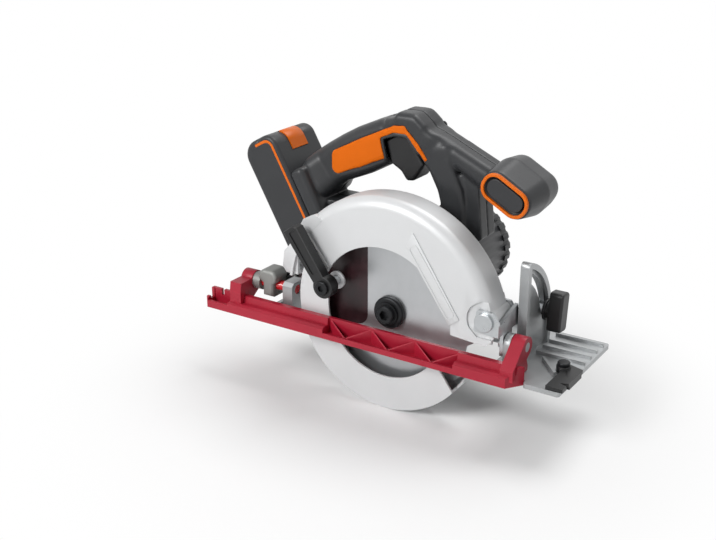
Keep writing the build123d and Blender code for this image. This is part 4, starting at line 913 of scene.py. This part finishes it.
class SAW_OT_stage(bpy.types.Operator):
    """Pale floor, soft studio light and the camera"""

    bl_idname = "saw.stage"
    bl_label = "Stage"

    def execute(self, context):
        scene = context.scene
        stage = scene.saw_stage
        self.floor(scene, stage)
        self.world(scene, stage)
        self.softbox(scene, "Key softbox", place=(-0.6, -1.6, 1.1), size=0.8, power=stage.key)
        self.softbox(scene, "Top softbox", place=(0.15, 0.7, 1.6), size=0.9, power=stage.top)
        self.softbox(scene, "Fill softbox", place=(1.6, -0.5, 0.7), size=1.2, power=stage.fill)
        self.camera(scene, stage)
        scene.view_settings.view_transform = "Standard"
        return {"FINISHED"}

    def floor(self, scene, stage):
        """Wide level floor just under the lowest point of the saw."""
        reach = 6.0
        gap = 0.2 * MM
        low = cad_box[0][2] - gap
        corners = [(-reach, -reach, low), (reach, -reach, low), (reach, reach, low), (-reach, reach, low)]
        mesh = bpy.data.meshes.new("floor")
        mesh.from_pydata(corners, [], [(0, 1, 2, 3)])
        floor = bpy.data.objects.new("floor", mesh)
        scene.collection.objects.link(floor)
        floor.data.materials.append(self.painted_floor(stage))

    def painted_floor(self, stage):
        """Matt white paint, lit by the lamps near the saw and plain white further out."""
        lit_reach = 0.1
        white_reach = 0.34
        material = surface(
            "painted_floor", stage.floor, rough=(0.6, 0.7), patch_mm=400, grain_mm=4, depth_mm=0.01,
            spread=0.005)
        tree = material.node_tree
        place = add_node(tree, "ShaderNodeTexCoord").outputs["Object"]
        distance = add_node(tree, "ShaderNodeVectorMath", {0: place}, operation="LENGTH")
        outside = add_node(
            tree, "ShaderNodeMapRange",
            {"Value": distance.outputs["Value"], "From Min": lit_reach, "From Max": white_reach},
            interpolation_type="SMOOTHSTEP")
        share = add_node(
            tree, "ShaderNodeMath", {0: outside.outputs["Result"], 1: self.seen(tree)}, operation="MULTIPLY")
        white = add_node(tree, "ShaderNodeEmission", {"Color": (1, 1, 1, 1), "Strength": 1.0})
        paint = tree.nodes["Principled BSDF"]
        blend = add_node(tree, "ShaderNodeMixShader", {
            0: share.outputs[0], 1: paint.outputs[0], 2: white.outputs[0]})
        tree.links.new(blend.outputs[0], tree.nodes["Material Output"].inputs["Surface"])
        return material

    def seen(self, tree):
        """One for rays from the camera, mirrors and glass, else nought."""
        rays = add_node(tree, "ShaderNodeLightPath").outputs
        mirror = add_node(
            tree, "ShaderNodeMath",
            {0: rays["Is Camera Ray"], 1: rays["Is Glossy Ray"]}, operation="MAXIMUM")
        glass = add_node(
            tree, "ShaderNodeMath",
            {0: mirror.outputs[0], 1: rays["Is Transmission Ray"]}, operation="MAXIMUM")
        return glass.outputs[0]

    def world(self, scene, stage):
        """Even light all round, seen as plain white."""
        world = bpy.data.worlds.new("Studio")
        scene.world = world
        world.use_nodes = True
        tree = world.node_tree
        sky = tree.nodes["Background"]
        strength = add_node(tree, "ShaderNodeMapRange", {
            "Value": self.seen(tree), "To Min": stage.sky, "To Max": 1.0})
        tree.links.new(strength.outputs["Result"], sky.inputs["Strength"])
        sky.inputs["Color"].default_value = (1, 1, 1, 1)

    def softbox(self, scene, name, place, size, power):
        """Square softbox, turned to the middle of the saw."""
        middle = Vector((0.0, 0.03, 0.08))
        lamp = bpy.data.lights.new(name, "AREA")
        lamp.shape = "SQUARE"
        lamp.size = size
        lamp.energy = power
        box = bpy.data.objects.new(name, lamp)
        scene.collection.objects.link(box)
        box.location = place
        box.rotation_euler = (middle - Vector(place)).to_track_quat("-Z", "Y").to_euler()

    def camera(self, scene, stage):
        """Camera at the photograph's angle, kept level."""
        level = cos(stage.elevation)
        back = Vector((sin(stage.azimuth) * level, -cos(stage.azimuth) * level, sin(stage.elevation)))
        right = Vector((cos(stage.azimuth), sin(stage.azimuth), 0))
        turn = Matrix((right, back.cross(right), back)).transposed()
        lens = bpy.data.cameras.new("Photo camera")
        lens.lens = stage.lens
        lens.sensor_width = 36
        camera = bpy.data.objects.new("Photo camera", lens)
        scene.collection.objects.link(camera)
        camera.matrix_world = Matrix.Translation(stage.place) @ turn.to_4x4()
        scene.camera = camera


class SAW_PT_panel(bpy.types.Panel):
    """Sidebar list of the saw's groups and values"""

    bl_idname = "SAW_PT_panel"
    bl_label = "Circular saw"
    bl_space_type = "VIEW_3D"
    bl_region_type = "UI"
    bl_category = "Saw"

    def draw(self, context):
        for operator in OPERATORS:
            self.layout.operator(operator.bl_idname)
        for values in (context.scene.saw_colours, context.scene.saw_sizes, context.scene.saw_stage):
            for key in values.bl_rna.properties.keys():
                if key not in ("rna_type", "name"):
                    self.layout.prop(values, key)


OPERATORS = (
    SAW_OT_base, SAW_OT_bevel_frame, SAW_OT_guards, SAW_OT_blade,
    SAW_OT_drive, SAW_OT_handle, SAW_OT_battery, SAW_OT_stage,
)
VALUES = {"saw_colours": SawColours, "saw_sizes": SawSizes, "saw_stage": SawStage}


def register():
    for group in (*VALUES.values(), *OPERATORS, SAW_PT_panel):
        bpy.utils.register_class(group)
    for name, group in VALUES.items():
        setattr(bpy.types.Scene, name, PointerProperty(type=group))


def unregister():
    for name in VALUES:
        delattr(bpy.types.Scene, name)
    for group in reversed((*VALUES.values(), *OPERATORS, SAW_PT_panel)):
        bpy.utils.unregister_class(group)


def main():
    register()
    bpy.ops.saw.base()
    bpy.ops.saw.bevel_frame()
    bpy.ops.saw.guards()
    bpy.ops.saw.blade()
    bpy.ops.saw.drive()
    bpy.ops.saw.handle()
    bpy.ops.saw.battery()
    bpy.ops.saw.stage()


if __name__ == "__main__":
    main()
